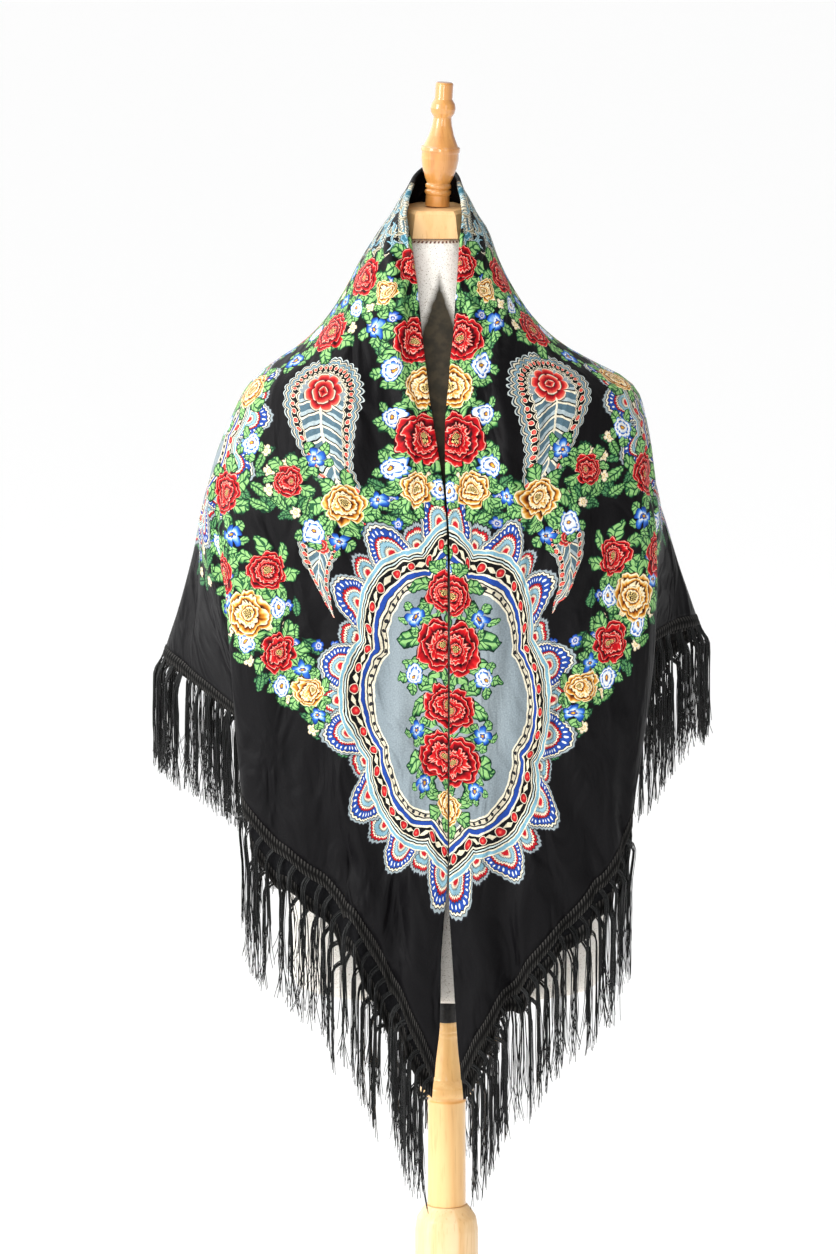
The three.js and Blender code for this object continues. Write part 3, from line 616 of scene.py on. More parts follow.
hem_fall = face[:, -1] - face[:, -6]
hem_fall /= np.linalg.norm(hem_fall, axis=-1, keepdims=True)
hem_way = np.gradient(face[:, -1], axis=0)
hem_way /= np.linalg.norm(hem_way, axis=-1, keepdims=True)
hem_slope = np.maximum(np.linalg.norm(np.cross(hem_way, hem_fall), axis=-1), 0.5)
under_below = shows / hem_slope
hem_along = across[:, -1]
ease = np.clip(hem_along / EDGE_EASE, 0, 1) * np.clip((hem_along[-1] - hem_along) / EDGE_EASE, 0, 1)
under_below = EDGE_SHOWS + (under_below - EDGE_SHOWS) * ease
below = np.arange(1, BELOW_STEPS + 1) / BELOW_STEPS
hanging_below = under_layer[:, -1:] + (hem_fall * under_below[:, None])[:, None] * below[None, :, None]

FRONT_CARE, REAR_CARE = 8, 0.4   # how strictly the front panels and the rest keep their lengths, laid flat
PIN_HOLD, FLATTENING_ROUNDS = 2000, 60


def flatten(grid, reach):
    """Lays one layer out flat, keeping its lengths as true as it can, the front panels most of all. The
    folded edge lies on the first axis, the nape at its middle, and the hem on the two sides of the square."""
    wide, deep = grid.shape[:2]
    number = np.arange(wide * deep).reshape(wide, deep)
    a, b, c, d = number[:-1, :-1], number[1:, :-1], number[1:, 1:], number[:-1, 1:]
    corners = np.concatenate([np.stack(three, -1).reshape(-1, 3)
                              for three in ((a, b, c), (a, c, d), (b, c, d), (a, b, d))])
    points = grid.reshape(-1, 3)[corners]
    side, other = points[:, 1] - points[:, 0], points[:, 2] - points[:, 0]
    length = np.linalg.norm(side, axis=-1)
    along = (other * side).sum(-1) / length
    up = np.sqrt(np.maximum((other ** 2).sum(-1) - along ** 2, 1e-12))
    shape = np.zeros((len(corners), 3, 2))
    shape[:, 1, 0], shape[:, 2, 0], shape[:, 2, 1] = length, along, up
    place = (corners[:, 0] // deep) / (wide - 1) * 2
    side_on = np.clip((np.minimum(place, 2 - place) - 0.3) / 0.2, 0, 1)
    care = FRONT_CARE + (REAR_CARE - FRONT_CARE) * side_on
    edges, spread = [], []
    total = wide * deep
    stiff, load = np.zeros((2 * total, 2 * total)), np.zeros(2 * total)
    for k in range(3):
        i, j = corners[:, (k + 1) % 3], corners[:, (k + 2) % 3]
        p, q = shape[:, (k + 1) % 3] - shape[:, k], shape[:, (k + 2) % 3] - shape[:, k]
        cross = np.abs(p[:, 0] * q[:, 1] - p[:, 1] * q[:, 0])
        pull = care * np.clip((p * q).sum(-1) / np.maximum(cross, 1e-12), 0.05, 20)
        edges.append((i, j))
        spread.append(pull)
        for axis in (0, 1):
            o = axis * total
            np.add.at(stiff, (o + i, o + i), pull)
            np.add.at(stiff, (o + j, o + j), pull)
            np.add.at(stiff, (o + i, o + j), -pull)
            np.add.at(stiff, (o + j, o + i), -pull)

    def pin(places, way, value):
        for n in np.ravel(places):
            for r in (0, 1):
                for s in (0, 1):
                    stiff[r * total + n, s * total + n] += PIN_HOLD * way[r] * way[s]
                load[r * total + n] += PIN_HOLD * way[r] * value

    half, corner = wide // 2, math.sqrt(0.5)
    pin(number[0], (0, 1), 0)
    pin(number[-1], (0, 1), 0)
    pin(number[1:-1, 0], (0, 1), 0)
    pin(number[:half + 1, -1], (-corner, corner), reach * corner)
    pin(number[half:, -1], (corner, corner), reach * corner)
    pin(number[half, 0], (1, 0), 0)
    pin(number[0, -1], (1, 0), -reach)
    pin(number[-1, -1], (1, 0), reach)
    solve = np.linalg.inv(stiff)
    hem_share = lengths(grid[:, -1])
    middle = hem_share[half]
    hem_at = np.where(hem_share < middle, hem_share / middle - 1,
                      (hem_share - middle) / (hem_share[-1] - middle))
    collar = np.linspace(-0.12, 0.12, wide)
    drop = np.stack([lengths(row) / lengths(row)[-1] for row in grid])
    flat = np.stack((collar[:, None] * (1 - drop) + (hem_at * reach)[:, None] * drop,
                     (1 - np.abs(hem_at))[:, None] * reach * drop), -1).reshape(-1, 2)
    for _ in range(FLATTENING_ROUNDS):
        laid = flat[corners]
        cosine, sine = np.zeros(len(corners)), np.zeros(len(corners))
        for k, pull in enumerate(spread):
            u = laid[:, (k + 1) % 3] - laid[:, (k + 2) % 3]
            v = shape[:, (k + 1) % 3] - shape[:, (k + 2) % 3]
            cosine += pull * (u * v).sum(-1)
            sine += pull * (u[:, 1] * v[:, 0] - u[:, 0] * v[:, 1])
        size = np.maximum(np.hypot(cosine, sine), 1e-12)
        cosine, sine = cosine / size, sine / size
        push = load.copy()
        for k, pull in enumerate(spread):
            i, j = edges[k]
            v = shape[:, (k + 1) % 3] - shape[:, (k + 2) % 3]
            turned_x, turned_y = cosine * v[:, 0] - sine * v[:, 1], sine * v[:, 0] + cosine * v[:, 1]
            np.add.at(push, i, pull * turned_x)
            np.add.at(push, j, -pull * turned_x)
            np.add.at(push, total + i, pull * turned_y)
            np.add.at(push, total + j, -pull * turned_y)
        flat = (solve @ push).reshape(2, total).T
    return flat.reshape(wide, deep, 2)


coarse_columns = np.linspace(0, 2, 55)
coarse_falls = np.concatenate((np.linspace(0, 1, 7), np.linspace(1, 2, 9)[1:]))
coarse_face = drape(coarse_columns, coarse_falls)[0]
coarse_flat = flatten(coarse_face, OUTER_REACH)


def read_free(keys, values, at):
    """Reads places smoothly between stations, with nothing held at the ends."""
    ends = 2 * keys[0] - keys[1], 2 * keys[-1] - keys[-2]
    keys = np.concatenate(((ends[0],), keys, (ends[1],)))
    values = np.concatenate((2 * values[:1] - values[1:2], values, 2 * values[-1:] - values[-2:-1]))
    return read(keys, values, at)


rows_flat = []
for k, fall in enumerate(coarse_falls):
    row = drape(columns, np.array((fall,)))[0][:, 0]
    run = lengths(row)
    rows_flat.append(read_free(np.interp(coarse_columns, columns, run), coarse_flat[:, k], run))
rows_flat = np.stack(rows_flat, 1)
flat = np.stack([read_free(np.interp(coarse_falls, falls, down[n]), rows_flat[n], down[n])
                 for n in range(len(columns))])
flat[..., 1] = np.maximum(flat[..., 1], 0)
flat[0, :, 1] = flat[-1, :, 1] = flat[:, 0, 1] = 0

# the whole folded sheet is one grid, from the outer hem up over the fold and down to the under hem
sheet_places = np.concatenate((outer_layer[:, ::-1], under_layer[:, 1:], hanging_below), 1)
under_flat = flat[:, 1:] * np.array((1, -1))
growth = (UNDER_REACH - OUTER_REACH) / 2 * ease[:, None, None] * below[None, :, None]
side_of = np.where(columns <= 1, -1, 1)[:, None, None]
below_flat = under_flat[:, -1:] + np.concatenate((growth * side_of, -growth), -1)
sheet_flat = np.concatenate((flat[:, ::-1], under_flat, below_flat), 1)

weave_mesh = bmesh.new()
print_map = weave_mesh.loops.layers.uv.new("print")
wide, long = sheet_places.shape[:2]
bmesh.ops.create_grid(weave_mesh, x_segments=wide - 1, y_segments=long - 1, size=0.5, calc_uvs=False)
spot = weave_mesh.verts.layers.int.new("spot")
for vert in weave_mesh.verts:
    i, j = round((vert.co.x + 0.5) * (wide - 1)), round((vert.co.y + 0.5) * (long - 1))
    vert[spot] = i * long + j
    vert.co = sheet_places[i, j]
for quad in weave_mesh.faces:
    for loop in quad.loops:
        loop[print_map].uv = sheet_flat[loop.vert[spot] // long, loop.vert[spot] % long]
folded = [vert for vert in weave_mesh.verts if vert[spot] // long in (0, wide - 1)]
bmesh.ops.remove_doubles(weave_mesh, verts=folded, dist=2e-6)
bmesh.ops.reverse_faces(weave_mesh, faces=weave_mesh.faces[:])
weave_mesh.verts.layers.int.remove(spot)
wool, wool_tree, wool_shader = new_material("printed wool", 0.48, Specular_IOR_Level=0.1)
wool_back, back_tree, back_shader = new_material("plain black wool", 0.9, Specular_IOR_Level=0.1)


def map_place(tree):
    """Where a point of the cloth lies on the flat square, in metres from its middle."""
    place = tree.nodes.new("ShaderNodeUVMap")
    place.uv_map = "print"
    return Measure(place.outputs["UV"])


TWILL = 620
back_specks = noise(map_place(back_tree), TWILL)
feed(back_shader.inputs["Base Color"],
     dyes(back_specks, [(0.3, (0.004, 0.004, 0.005, 1)), (0.7, (0.013, 0.013, 0.014, 1))]))
raise_by(back_shader, back_specks, 0.0004)
unfinished = mesh_piece("shawl_middle", weave_mesh, wool)
unfinished.data.materials.append(wool_back)
thick = unfinished.modifiers.new("thickness", "SOLIDIFY")
thick.thickness = CLOTH_THICK
thick.offset = 0
thick.material_offset = 1
thick.material_offset_rim = 1
bpy.context.view_layer.update()
shawl_mesh = bpy.data.meshes.new_from_object(unfinished.evaluated_get(bpy.context.evaluated_depsgraph_get()))
shawl = bpy.data.objects.new("shawl_sheet", shawl_mesh)
bpy.context.scene.collection.objects.link(shawl)
bpy.data.objects.remove(unfinished)
corners = len(shawl_mesh.loops)
spots = np.empty(corners * 2)
shawl_mesh.uv_layers["print"].data.foreach_get("uv", spots)
spots = spots.reshape(-1, 2) @ np.array([(1, 1), (1, -1)]) / math.sqrt(2) / SIDE + 0.5
face_sides = np.empty(len(shawl_mesh.polygons), int)
face_sizes = np.empty(len(shawl_mesh.polygons), int)
shawl_mesh.polygons.foreach_get("material_index", face_sides)
shawl_mesh.polygons.foreach_get("loop_total", face_sizes)
is_back = np.repeat(face_sides, face_sizes)[:, None] > 0
# the printed side fills most of the map, and the plain reverse and the cut edge share a strip beside it
spots = np.where(is_back, (0.955, 0.03) + spots * (0.03, 0.93), (0.01, 0.03) + spots * 0.93)
shawl_mesh.uv_layers.new(name="OFBake").data.foreach_set("uv", spots.ravel())
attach(shawl, "root")
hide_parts("shawl_cloth")

# The print is drawn in centimetres on the flat square, and its eight parts mirror one another. It has a
# feathered heart, sixteen teardrops, garlands of roses, a lobed rosette at each corner and at the middle of
# each side, and a plain black border.
def joined(x, y, z=0.0):
    """One place from its parts."""
    return Measure(step_on("CombineXYZ", (x, y, z)).outputs[0])


def lay(below, above, mask):
    """Covers one colour with another where the mask is one."""
    return choose("RGBA", mask, below, above)


def below_value(value, limit):
    """One where a measure is under its limit, and nothing elsewhere."""
    return work("LESS_THAN", value, limit)


def both(a, b):
    """The lesser of two measures, and so where two masks overlap."""
    return work("MINIMUM", a, b)


def either(a, b):
    """The greater of two measures, and so where one mask or the other lies."""
    return work("MAXIMUM", a, b)


ROOT_HALF = math.sqrt(0.5)
FULL_TURN = 2 * math.pi
CENTIMETRES = 100
SHAKE = 0.5                     # how far the lines of the print shake, in centimetres
FOLD_OFF = 1.9                  # how far the fold lies from the diagonal of the print
flat_place = map_place(wool_tree)
wobble = noise(flat_place, 85, detail=1.5, out="Color")
fray = parted(wobble)[0]
shaken = vector("MULTIPLY_ADD", flat_place, (CENTIMETRES, CENTIMETRES, 0),
                vector("MULTIPLY_ADD", wobble, (SHAKE, SHAKE, 0), (-SHAKE / 2, FOLD_OFF - SHAKE / 2, 0)))
along_fold, beside_fold, _ = parted(shaken)
across_a = work("ABSOLUTE", (along_fold + beside_fold) * ROOT_HALF)
across_b = work("ABSOLUTE", (along_fold - beside_fold) * ROOT_HALF)
to_side, to_middle = either(across_a, across_b), both(across_a, across_b)
to_corner = (to_side + to_middle) * ROOT_HALF
from_diagonal = (to_side - to_middle) * ROOT_HALF
here = joined(to_corner, from_diagonal)
from_heart = vector("LENGTH", here, out=1)
flutter = noise(here, 0.75, detail=1.0, out="Color")
among = vector("ADD", here, vector("MULTIPLY_ADD", flutter, (1.1, 1.1, 0), (-0.55, -0.55, 0)))


def petals(distance, angle, rings):
    """Layers of petals from the outside in: each ring's radius, count, turn and notch. Gives how far out on
    its own petal a point lies, from 0 at its root to 1 at its rim, and whether it is on the flower."""
    tone = mask = None
    for k, (radius, count, start, notch) in enumerate(rings):
        root = rings[k + 1][0] / radius * 0.93 if k + 1 < len(rings) else 0.0
        wave = work("PINGPONG", angle * (count / FULL_TURN) + start, 0.5)
        lobe = work("POWER", 1 - wave * 2, 3)
        out = distance / (radius - lobe * (radius * notch))
        own = (out - root) / (1 - root) - lobe * 0.34
        on = below_value(out, 1)
        tone = own if tone is None else choose("FLOAT", on, tone, own)
        mask = on if mask is None else mask
    return tone, mask


def leaves(distance, angle, count, start, near, far, width, veins):
    """A ring of pointed leaves. Gives a tone, 0 on outlines and veins and more on the blade, and a mask."""
    cell = work("PINGPONG", angle * (count / FULL_TURN) + start, 0.5)
    aside = 1 - cell * 2
    share = (distance - near) / (far - near)
    jag = work("SINE", distance * (veins * FULL_TURN)) * 0.035
    half = work("SQRT", either(share * (1 - share) * 4, 0)) * (1 - share * 0.45) * width + jag
    inside = half - aside
    ribs = work("FRACT", distance * veins - aside * 1.7)
    rib = either(below_value(ribs, 0.26), below_value(aside, 0.07))
    tone = both(inside * 4, 1) * (1 - rib * 0.62)
    return tone, both(work("GREATER_THAN", inside, 0), below_value(work("ABSOLUTE", share - 0.5), 0.5))


def nearest(places):
    """Which of these flowers is nearest for its size: the place within it, in its own radii, and its kind."""
    best = place = None
    for corner_way, side_way, radius, kind in places:
        own = vector("MULTIPLY_ADD", among, (1 / radius, 1 / radius, 0),
                     (-corner_way / radius, -side_way / radius, kind / 1000))
        reach = vector("LENGTH", own, out=1)
        if best is None:
            best, place = reach, own
        else:
            closer = below_value(reach, best)
            place = choose("VECTOR", closer, place, own)
            best = both(best, reach)
    p, q, kind = parted(place)
    return best, p, q, kind * 1000


def spun(place, angle):
    """A place turned about the middle of its motif."""
    step = step_on("VectorRotate", (place,), rotation_type="Z_AXIS")
    feed(step.inputs["Angle"], angle)
    return Measure(step.outputs["Vector"])


def scattered(cell, seed):
    """Places strewn evenly, one to a cell of this many centimetres. Gives a turned place in the cell, a
    chance, where the middle of the cell lies, and the place before it was turned."""
    scaled = vector("MULTIPLY_ADD", here, (1 / cell, 1 / cell, 0), (seed, seed * 2.3, 0))
    spread = step_on("TexVoronoi", (scaled,), voronoi_dimensions="2D")
    spread.inputs["Scale"].default_value = 1
    spread.inputs["Randomness"].default_value = 0.75
    middle = Measure(spread.outputs["Position"])
    own = vector("SUBTRACT", scaled, middle)
    turn_chance, chance, _ = parted(Measure(spread.outputs["Color"]))
    u, v, _ = parted(spun(own, turn_chance * FULL_TURN))
    centre = vector("MULTIPLY_ADD", middle, (cell, cell, 0), (-seed * cell, -seed * 2.3 * cell, 0))
    return u, v, chance, centre, own


BLACK, INK, CHARCOAL, CREAM, BLUE = "0e0d0f", "24242a", "2b2b30", "efe6cc", "2449a0"
LEAF = [(0.0, "071710"), (0.33, "164029"), (0.44, "326e42"), (0.72, "69a45b"), (1.0, "93c67a")]
SHADE_LEAF = [(0.0, "0a1c14"), (0.33, "163c2a"), (0.5, "2c6442"), (1.0, "5f9a60")]


# strewn leaves and tiny blossoms fill the garlands
def in_garland(middle):
    """Whether the middle of a leaf lies in the garlands: along the sides, on the diagonals, in two rings."""
    corner_way, side_way, _ = parted(middle)
    from_middle = vector("LENGTH", middle, out=1)
    beside = (corner_way + side_way) * ROOT_HALF
    band = both(work("ABSOLUTE", beside - 54.8) - 4.6, side_way - 4.6)
    band = both(band, work("ABSOLUTE", from_middle - 25.5) - 4.6)
    band = both(band, work("ABSOLUTE", from_middle - 45.5) - 3.4)
    inside = both(below_value(band + noise(middle, 0.75, detail=1.0) * 6, 2.7), below_value(beside, 60.2))
    return both(inside, work("GREATER_THAN", from_middle, 20))


colour = tint(BLACK)
for cell, seed, greens, rare in (
    (2.6, 0.0, SHADE_LEAF, 0.2), (2.2, 7.7, SHADE_LEAF, 0.3), (2.4, 4.9, LEAF, 0.3),
):
    u, v, chance, middle, _ = scattered(cell, seed)
    half = (1 - u * u * 3.4) * 0.24 + work("SINE", u * 42) * 0.022
    inside = half - work("ABSOLUTE", v)
    rib = either(below_value(work("FRACT", u * 6.5 + work("ABSOLUTE", v) * 5), 0.24),
                 below_value(work("ABSOLUTE", v), 0.03))
    green = dyes(both(inside * 12, 1) * (1 - rib * 0.62) * (0.7 + chance * 0.3), greens)
    shown = both(in_garland(middle), work("GREATER_THAN", chance, rare))
    colour = lay(colour, green, both(work("GREATER_THAN", inside, 0), shown))
u, v, chance, middle, own = scattered(2.2, 3.1)
reach = vector("LENGTH", own, out=1)
tone, on = petals(reach, work("ARCTAN2", v, u), [(0.30, 5, 0.0, 0.55), (0.09, 3, 0, 0)])
blossom = lay(dyes(tone, [(0, "f3ead2"), (0.5, "2f66c8"), (0.86, "143a8c"), (0.95, "0c1f52")]),
              dyes(tone, [(0, "f0c74e"), (0.4, "f6ecd6"), (0.85, "d9c7a2"), (0.95, "4a3a2c")]),
              work("GREATER_THAN", chance, 0.55))
colour = lay(colour, blossom, both(both(on, in_garland(middle)), work("GREATER_THAN", chance, 0.2)))

# the heart round the nape is left plain, inside a ring of thin feathers and small curled leaves in cream and
# teal
heart_angle = work("ARCTAN2", from_diagonal, to_corner)
tone, on = leaves(from_heart, heart_angle, 44, 0.5, 11.6, 21.5, 0.62, 3.2)
feather = dyes(tone, [(0.0, BLACK), (0.12, "cfc4a4"), (0.26, "3c5460"), (0.34, BLACK), (0.46, "7da4b4"),
                      (0.66, BLACK), (0.82, "d9cdab"), (1.0, "e4dcc4")])
colour = lay(colour, feather, on)
for cell, seed, core, pale in (
    (1.9, 2.2, "3f7488", "8fc0d0"), (1.5, 5.1, "8a8268", "e9e0c8"), (1.2, 9.4, "5f8d9c", "d3e2df"),
):
    u, v, _, middle, _ = scattered(cell, seed)
    far = vector("LENGTH", middle, out=1)
    in_ring = both(work("GREATER_THAN", far, 12.6), below_value(far, 20.2))
    curled = v + u * u * 1.5 - 0.16
    half = (1 - u * u * 3.2) * 0.17 + work("SINE", u * 30) * 0.02
    inside = half - work("ABSOLUTE", curled)
    curl = dyes(inside * 12, [(0.0, BLACK), (0.2, core), (0.55, pale), (0.8, pale), (1.0, core)])
    colour = lay(colour, curl, both(work("GREATER_THAN", inside, 0), in_ring))

# teardrops with a beaded band, a feathered tail and a small red flower


def teardrop(below, corner_way, side_way, turn, radius):
    """Lays a bent teardrop over the print, its round end at this place and its tail turned this far."""
    own = vector("MULTIPLY_ADD", here, (1 / radius, 1 / radius, 0),
                 (-corner_way / radius, -side_way / radius, 0))
    u, v, _ = parted(spun(own, math.radians(turn)))
    above, under = either(v, 0), either(v * -1, 0)
    bent = u - above * above * 0.24
    narrow = work("POWER", either(1 - above / 2.75, 0.01), 0.8)
    aside = work("ABSOLUTE", bent / narrow)
    size = work("SQRT", aside * aside + under * under)
    along = above - work("ARCTAN2", under, work("ABSOLUTE", bent))
    scallop = work("ABSOLUTE", work("SINE", along * (radius * 3.4)))
    rim = size + (1 - scallop) * 0.07
    shade = dyes(rim * 0.9, [
        (0.0, "8b979c"), (0.50, CREAM), (0.52, BLACK), (0.54, CREAM), (0.56, BLACK), (0.70, CREAM),
        (0.72, BLACK), (0.735, "7d9cab"), (0.785, BLACK), (0.80, "d8cfb6"), (0.83, "33424c"),
        (0.86, "cfd9d6"), (0.885, BLACK)], sharp=True)
    step = work("FRACT", along * (radius * 1.25)) - 0.5
    lift = (size - 0.70) * narrow * (radius * 1.25)
    bead = work("SQRT", step * step + lift * lift)
    shade = lay(shade, dyes(bead * 2, [(0, "f2705c"), (0.3, "cf202a"), (0.52, CREAM)], sharp=True),
                below_value(bead, 0.34))
    barbs = work("FRACT", v * (radius * 0.8) - aside * 1.5)
    feather = dyes(barbs, [(0, BLACK), (0.10, CREAM), (0.26, "55707d"), (0.72, "aebdc0")], sharp=True)
    feather = lay(feather, tint(CREAM), below_value(work("ABSOLUTE", bent), 0.025))
    shade = lay(shade, feather, both(below_value(size, 0.53), work("GREATER_THAN", v, 0.0)))
    flower = vector("LENGTH", joined(bent, v + 0.12), out=1) / 0.46
    tone, on = petals(flower, work("ARCTAN2", v + 0.12, bent),
                      [(1.0, 8, 0.0, 0.3), (0.62, 5, 0.4, 0.25), (0.25, 4, 0, 0)])
    red_flower = dyes(tone, [(0, "5a0a10"), (0.4, "c01c26"), (0.72, "ee6a56"), (0.84, "f6e6cc"),
                             (0.95, BLACK)])
    shade = lay(shade, red_flower, on)
    return lay(below, shade, both(below_value(rim, 1.0), below_value(v, 2.72)))


colour = teardrop(colour, 33.6, 12.4, 74, 4.6)
colour = teardrop(colour, 48.4, 14.2, 62, 2.2)

# a lobed rosette at each corner and a smaller one at the middle of each side
corner_place = vector("MULTIPLY", vector("SUBTRACT", here, (63.8, 0, 0)), (1 / 17.6, 1 / 13.6, 0))
side_place = vector("SUBTRACT", joined(to_side, to_middle), (46.0, 0, 0))
side_place = vector("MULTIPLY", side_place, (1 / 11.8, 1 / 11.8, 0))
is_side = below_value(vector("LENGTH", side_place, out=1), vector("LENGTH", corner_place, out=1))
rosette = choose("VECTOR", is_side, corner_place, side_place)
p, q, _ = parted(rosette)
rosette_size = choose("FLOAT", is_side, 15.2, 11.8)
reach = vector("LENGTH", rosette, out=1)
angle = work("ARCTAN2", q, p)
lobe = 1 - work("PINGPONG", angle * (8 / FULL_TURN) + 0.5, 0.5) * 2
outline = reach / (1.02 - lobe * lobe * 0.10)
ring_bands = dyes(outline * 0.9, [
    (0.0, "a9b4b8"), (0.655, CREAM), (0.666, CHARCOAL), (0.674, "d8cfb6"), (0.694, CHARCOAL), (0.701, CREAM),
    (0.711, CHARCOAL), (0.718, BLUE), (0.742, CREAM), (0.751, BLACK), (0.815, CREAM), (0.823, BLACK),
    (0.830, "cfe0df"), (0.839, BLACK), (0.846, CREAM), (0.854, "7fb0c4"), (0.872, CREAM), (0.882, BLACK),
], sharp=True)
field = dyes(reach, [(0.0, "a7b1b4"), (0.68, "88949a")])
ring_bands = lay(ring_bands, field, below_value(outline, 0.728))


def beads(count, start, middle, radius):
    """A row of beads on one band of a rosette. Gives how far out on its own bead a point lies, and how far
    along the band and across it, in centimetres."""
    step = (work("FRACT", angle * (count / FULL_TURN) + start) - 0.5) * (FULL_TURN / count) * reach
    lift = outline - middle
    reach_on = work("SQRT", step * step + lift * lift) * rosette_size / radius
    return reach_on, step * rosette_size, lift * rosette_size


dot, _, _ = beads(88, 0.0, 0.760, 0.17)
ring_bands = lay(ring_bands, tint("26262b"), below_value(dot, 1))
bead, _, _ = beads(44, 0.0, 0.870, 0.44)
_, sideways, lifted = beads(44, 0.5, 0.870, 0.40)
sprig = below_value(work("ABSOLUTE", sideways * 0.8) + work("ABSOLUTE", lifted * 1.6 - sideways * 0.5), 0.42)
ring_bands = lay(ring_bands, tint("e9dfc2"), sprig)
ring_bands = lay(ring_bands, dyes(bead, [(0, "ff7a62"), (0.35, "d6242c"), (0.8, "a0141c"), (0.92, CREAM)]),
                 below_value(bead, 1))
colour_rosette = ring_bands

# its edge of fans, every other one blue with white dots, over a row of small scalloped ones
SMALL_FAN = [
    (0, "b81c26"), (0.20, CREAM), (0.29, INK), (0.34, "7fa9b8"), (0.52, INK), (0.56, CREAM), (0.64, "b81c26"),
    (0.76, INK), (0.81, "9aa7ab"), (0.93, INK),
]
LARGE_FAN = [
    (0, "c4202a"), (0.13, CREAM), (0.19, INK), (0.22, "8fb9c8"), (0.34, INK), (0.37, CREAM), (0.43, "b81c26"),
    (0.50, INK), (0.53, BLUE), (0.76, INK), (0.79, CREAM), (0.85, INK), (0.88, "9aa7ab"), (0.96, INK),
]
for count, start, wide_by, high_by, rows in (
    (32, 0.5, 1.55, 2.3, SMALL_FAN), (16, 0.0, 2.35, 3.4, LARGE_FAN),
):
    step = work("FRACT", angle * (count / FULL_TURN) + start) - 0.5
    step = step * (FULL_TURN / count) * reach * rosette_size
    rise = (outline - 0.985) * rosette_size
    lean = step / wide_by
    tall = rise / high_by
    fan = work("SQRT", lean * lean + tall * tall)
    fan_angle = work("ARCTAN2", step, rise)
    zigzag = (work("PINGPONG", fan_angle * 5.5, 0.5) - 0.25) * (0.11 if count == 16 else 0.16)
    fan = fan + zigzag + lean * lean * tall * 0.3
    fan_colour = dyes(fan, rows, sharp=True)
    if count == 16:
        pearl = work("PINGPONG", fan_angle * 4.6 + 0.25, 0.5) * 2 - 1
        lifted = (fan - zigzag - 0.645) * 10
        pearls = below_value(pearl * pearl * 3 + lifted * lifted, 0.42)
        fan_colour = lay(fan_colour, tint("e9efe9"), pearls)
    colour = lay(colour, fan_colour, both(below_value(fan, 1), work("GREATER_THAN", outline, 0.97)))
colour = lay(colour, colour_rosette, below_value(outline, 0.982))

# bouquets: red and gold roses in rings of leaves, with blue and white daisies between them
RED, GOLD = 0, 1
ROSES = [
    (53.6, 2.3, 2.0, RED + 0.1), (58.6, 2.7, 2.6, RED + 0.5), (64.4, 2.3, 2.1, RED + 0.8),
    (69.4, 2.6, 2.4, RED + 0.3), (74.0, 1.8, 1.5, GOLD + 0.5), (28.8, 3.0, 2.3, RED + 0.6),
    (33.6, 2.4, 2.0, GOLD + 0.4), (38.6, 3.2, 2.6, RED + 0.2), (43.4, 4.6, 1.7, GOLD + 0.8),
    (58.8, 19.8, 2.0, RED + 0.1), (54.6, 22.8, 2.4, GOLD + 0.6), (50.4, 26.4, 2.3, RED + 0.4),
    (62.8, 16.8, 1.5, GOLD + 0.8), (44.4, 11.2, 2.0, GOLD + 0.3), (50.4, 20.2, 2.0, RED + 0.7),
    (42.0, 24.4, 2.3, RED + 0.0), (25.8, 12.6, 2.3, RED + 0.5), (31.2, 21.6, 2.0, GOLD + 0.1),
    (33.4, 29.9, 2.5, RED + 0.2), (30.0, 26.6, 1.8, GOLD + 0.9), (21.6, 19.4, 2.1, RED + 0.6),
    (37.0, 33.4, 2.0, RED + 0.4), (41.6, 16.6, 1.6, RED + 0.9), (21.6, 2.2, 1.7, RED + 0.4),
    (21.0, 8.0, 2.0, RED + 0.8), (17.6, 13.6, 1.6, GOLD + 0.2), (23.6, 5.4, 1.2, GOLD + 0.7),
]
DAISIES = [
    (61.4, 5.6, 1.1, 0), (66.8, 5.2, 1.0, 1), (55.8, 5.4, 1.0, 1), (72.0, 4.6, 0.9, 1), (50.6, 1.2, 1.1, 0),
    (61.6, 0.9, 1.0, 1), (31.4, 5.6, 1.2, 0), (27.0, 6.8, 1.2, 1), (36.2, 5.8, 1.1, 0), (41.2, 6.4, 1.2, 0),
    (31.2, 0.8, 1.0, 1), (36.2, 0.7, 1.0, 0), (46.8, 14.6, 1.2, 0), (48.0, 12.2, 1.0, 1),
    (62.2, 19.4, 1.1, 0), (37.4, 20.6, 1.2, 0), (24.4, 15.8, 1.2, 0), (46.6, 23.4, 1.2, 1),
    (57.4, 23.2, 1.1, 0), (34.2, 25.6, 1.1, 0), (43.6, 2.2, 1.0, 0), (53.0, 25.4, 1.1, 1),
    (44.2, 8.0, 1.0, 1), (65.2, 16.0, 0.9, 1), (54.2, 19.6, 1.1, 0), (28.4, 16.8, 1.1, 1),
    (28.2, 23.0, 1.1, 0), (24.8, 20.2, 1.0, 1), (39.6, 13.6, 1.1, 1), (67.4, 0.8, 0.9, 0),
    (24.4, 1.2, 0.9, 0), (18.8, 10.6, 0.9, 1), (24.2, 9.0, 1.0, 0), (22.4, 11.2, 0.9, 1),
    (19.2, 16.8, 1.0, 0), (60.6, 17.4, 0.9, 1), (47.2, 27.4, 1.2, 0), (22.0, 13.8, 1.0, 1),
    (72.0, 0.8, 0.9, 1),
]
rose_reach, p, q, kind = nearest(ROSES)
gold = work("GREATER_THAN", kind, 0.95)
rose_angle = work("ARCTAN2", q, p) + kind * 7 + rose_reach * 0.25
tone, on = leaves(rose_reach, rose_angle, 7, 0.2, 0.75, 1.75, 0.95, 3.4)
clear = below_value(to_side, 61.6)
colour = lay(colour, dyes(tone, LEAF), both(on, clear))
daisy_reach, u, v, daisy_kind = nearest(DAISIES)
daisy_angle = work("ARCTAN2", v, u)
tone, on = leaves(daisy_reach, daisy_angle, 5, 0.4, 0.8, 1.7, 0.9, 3.0)
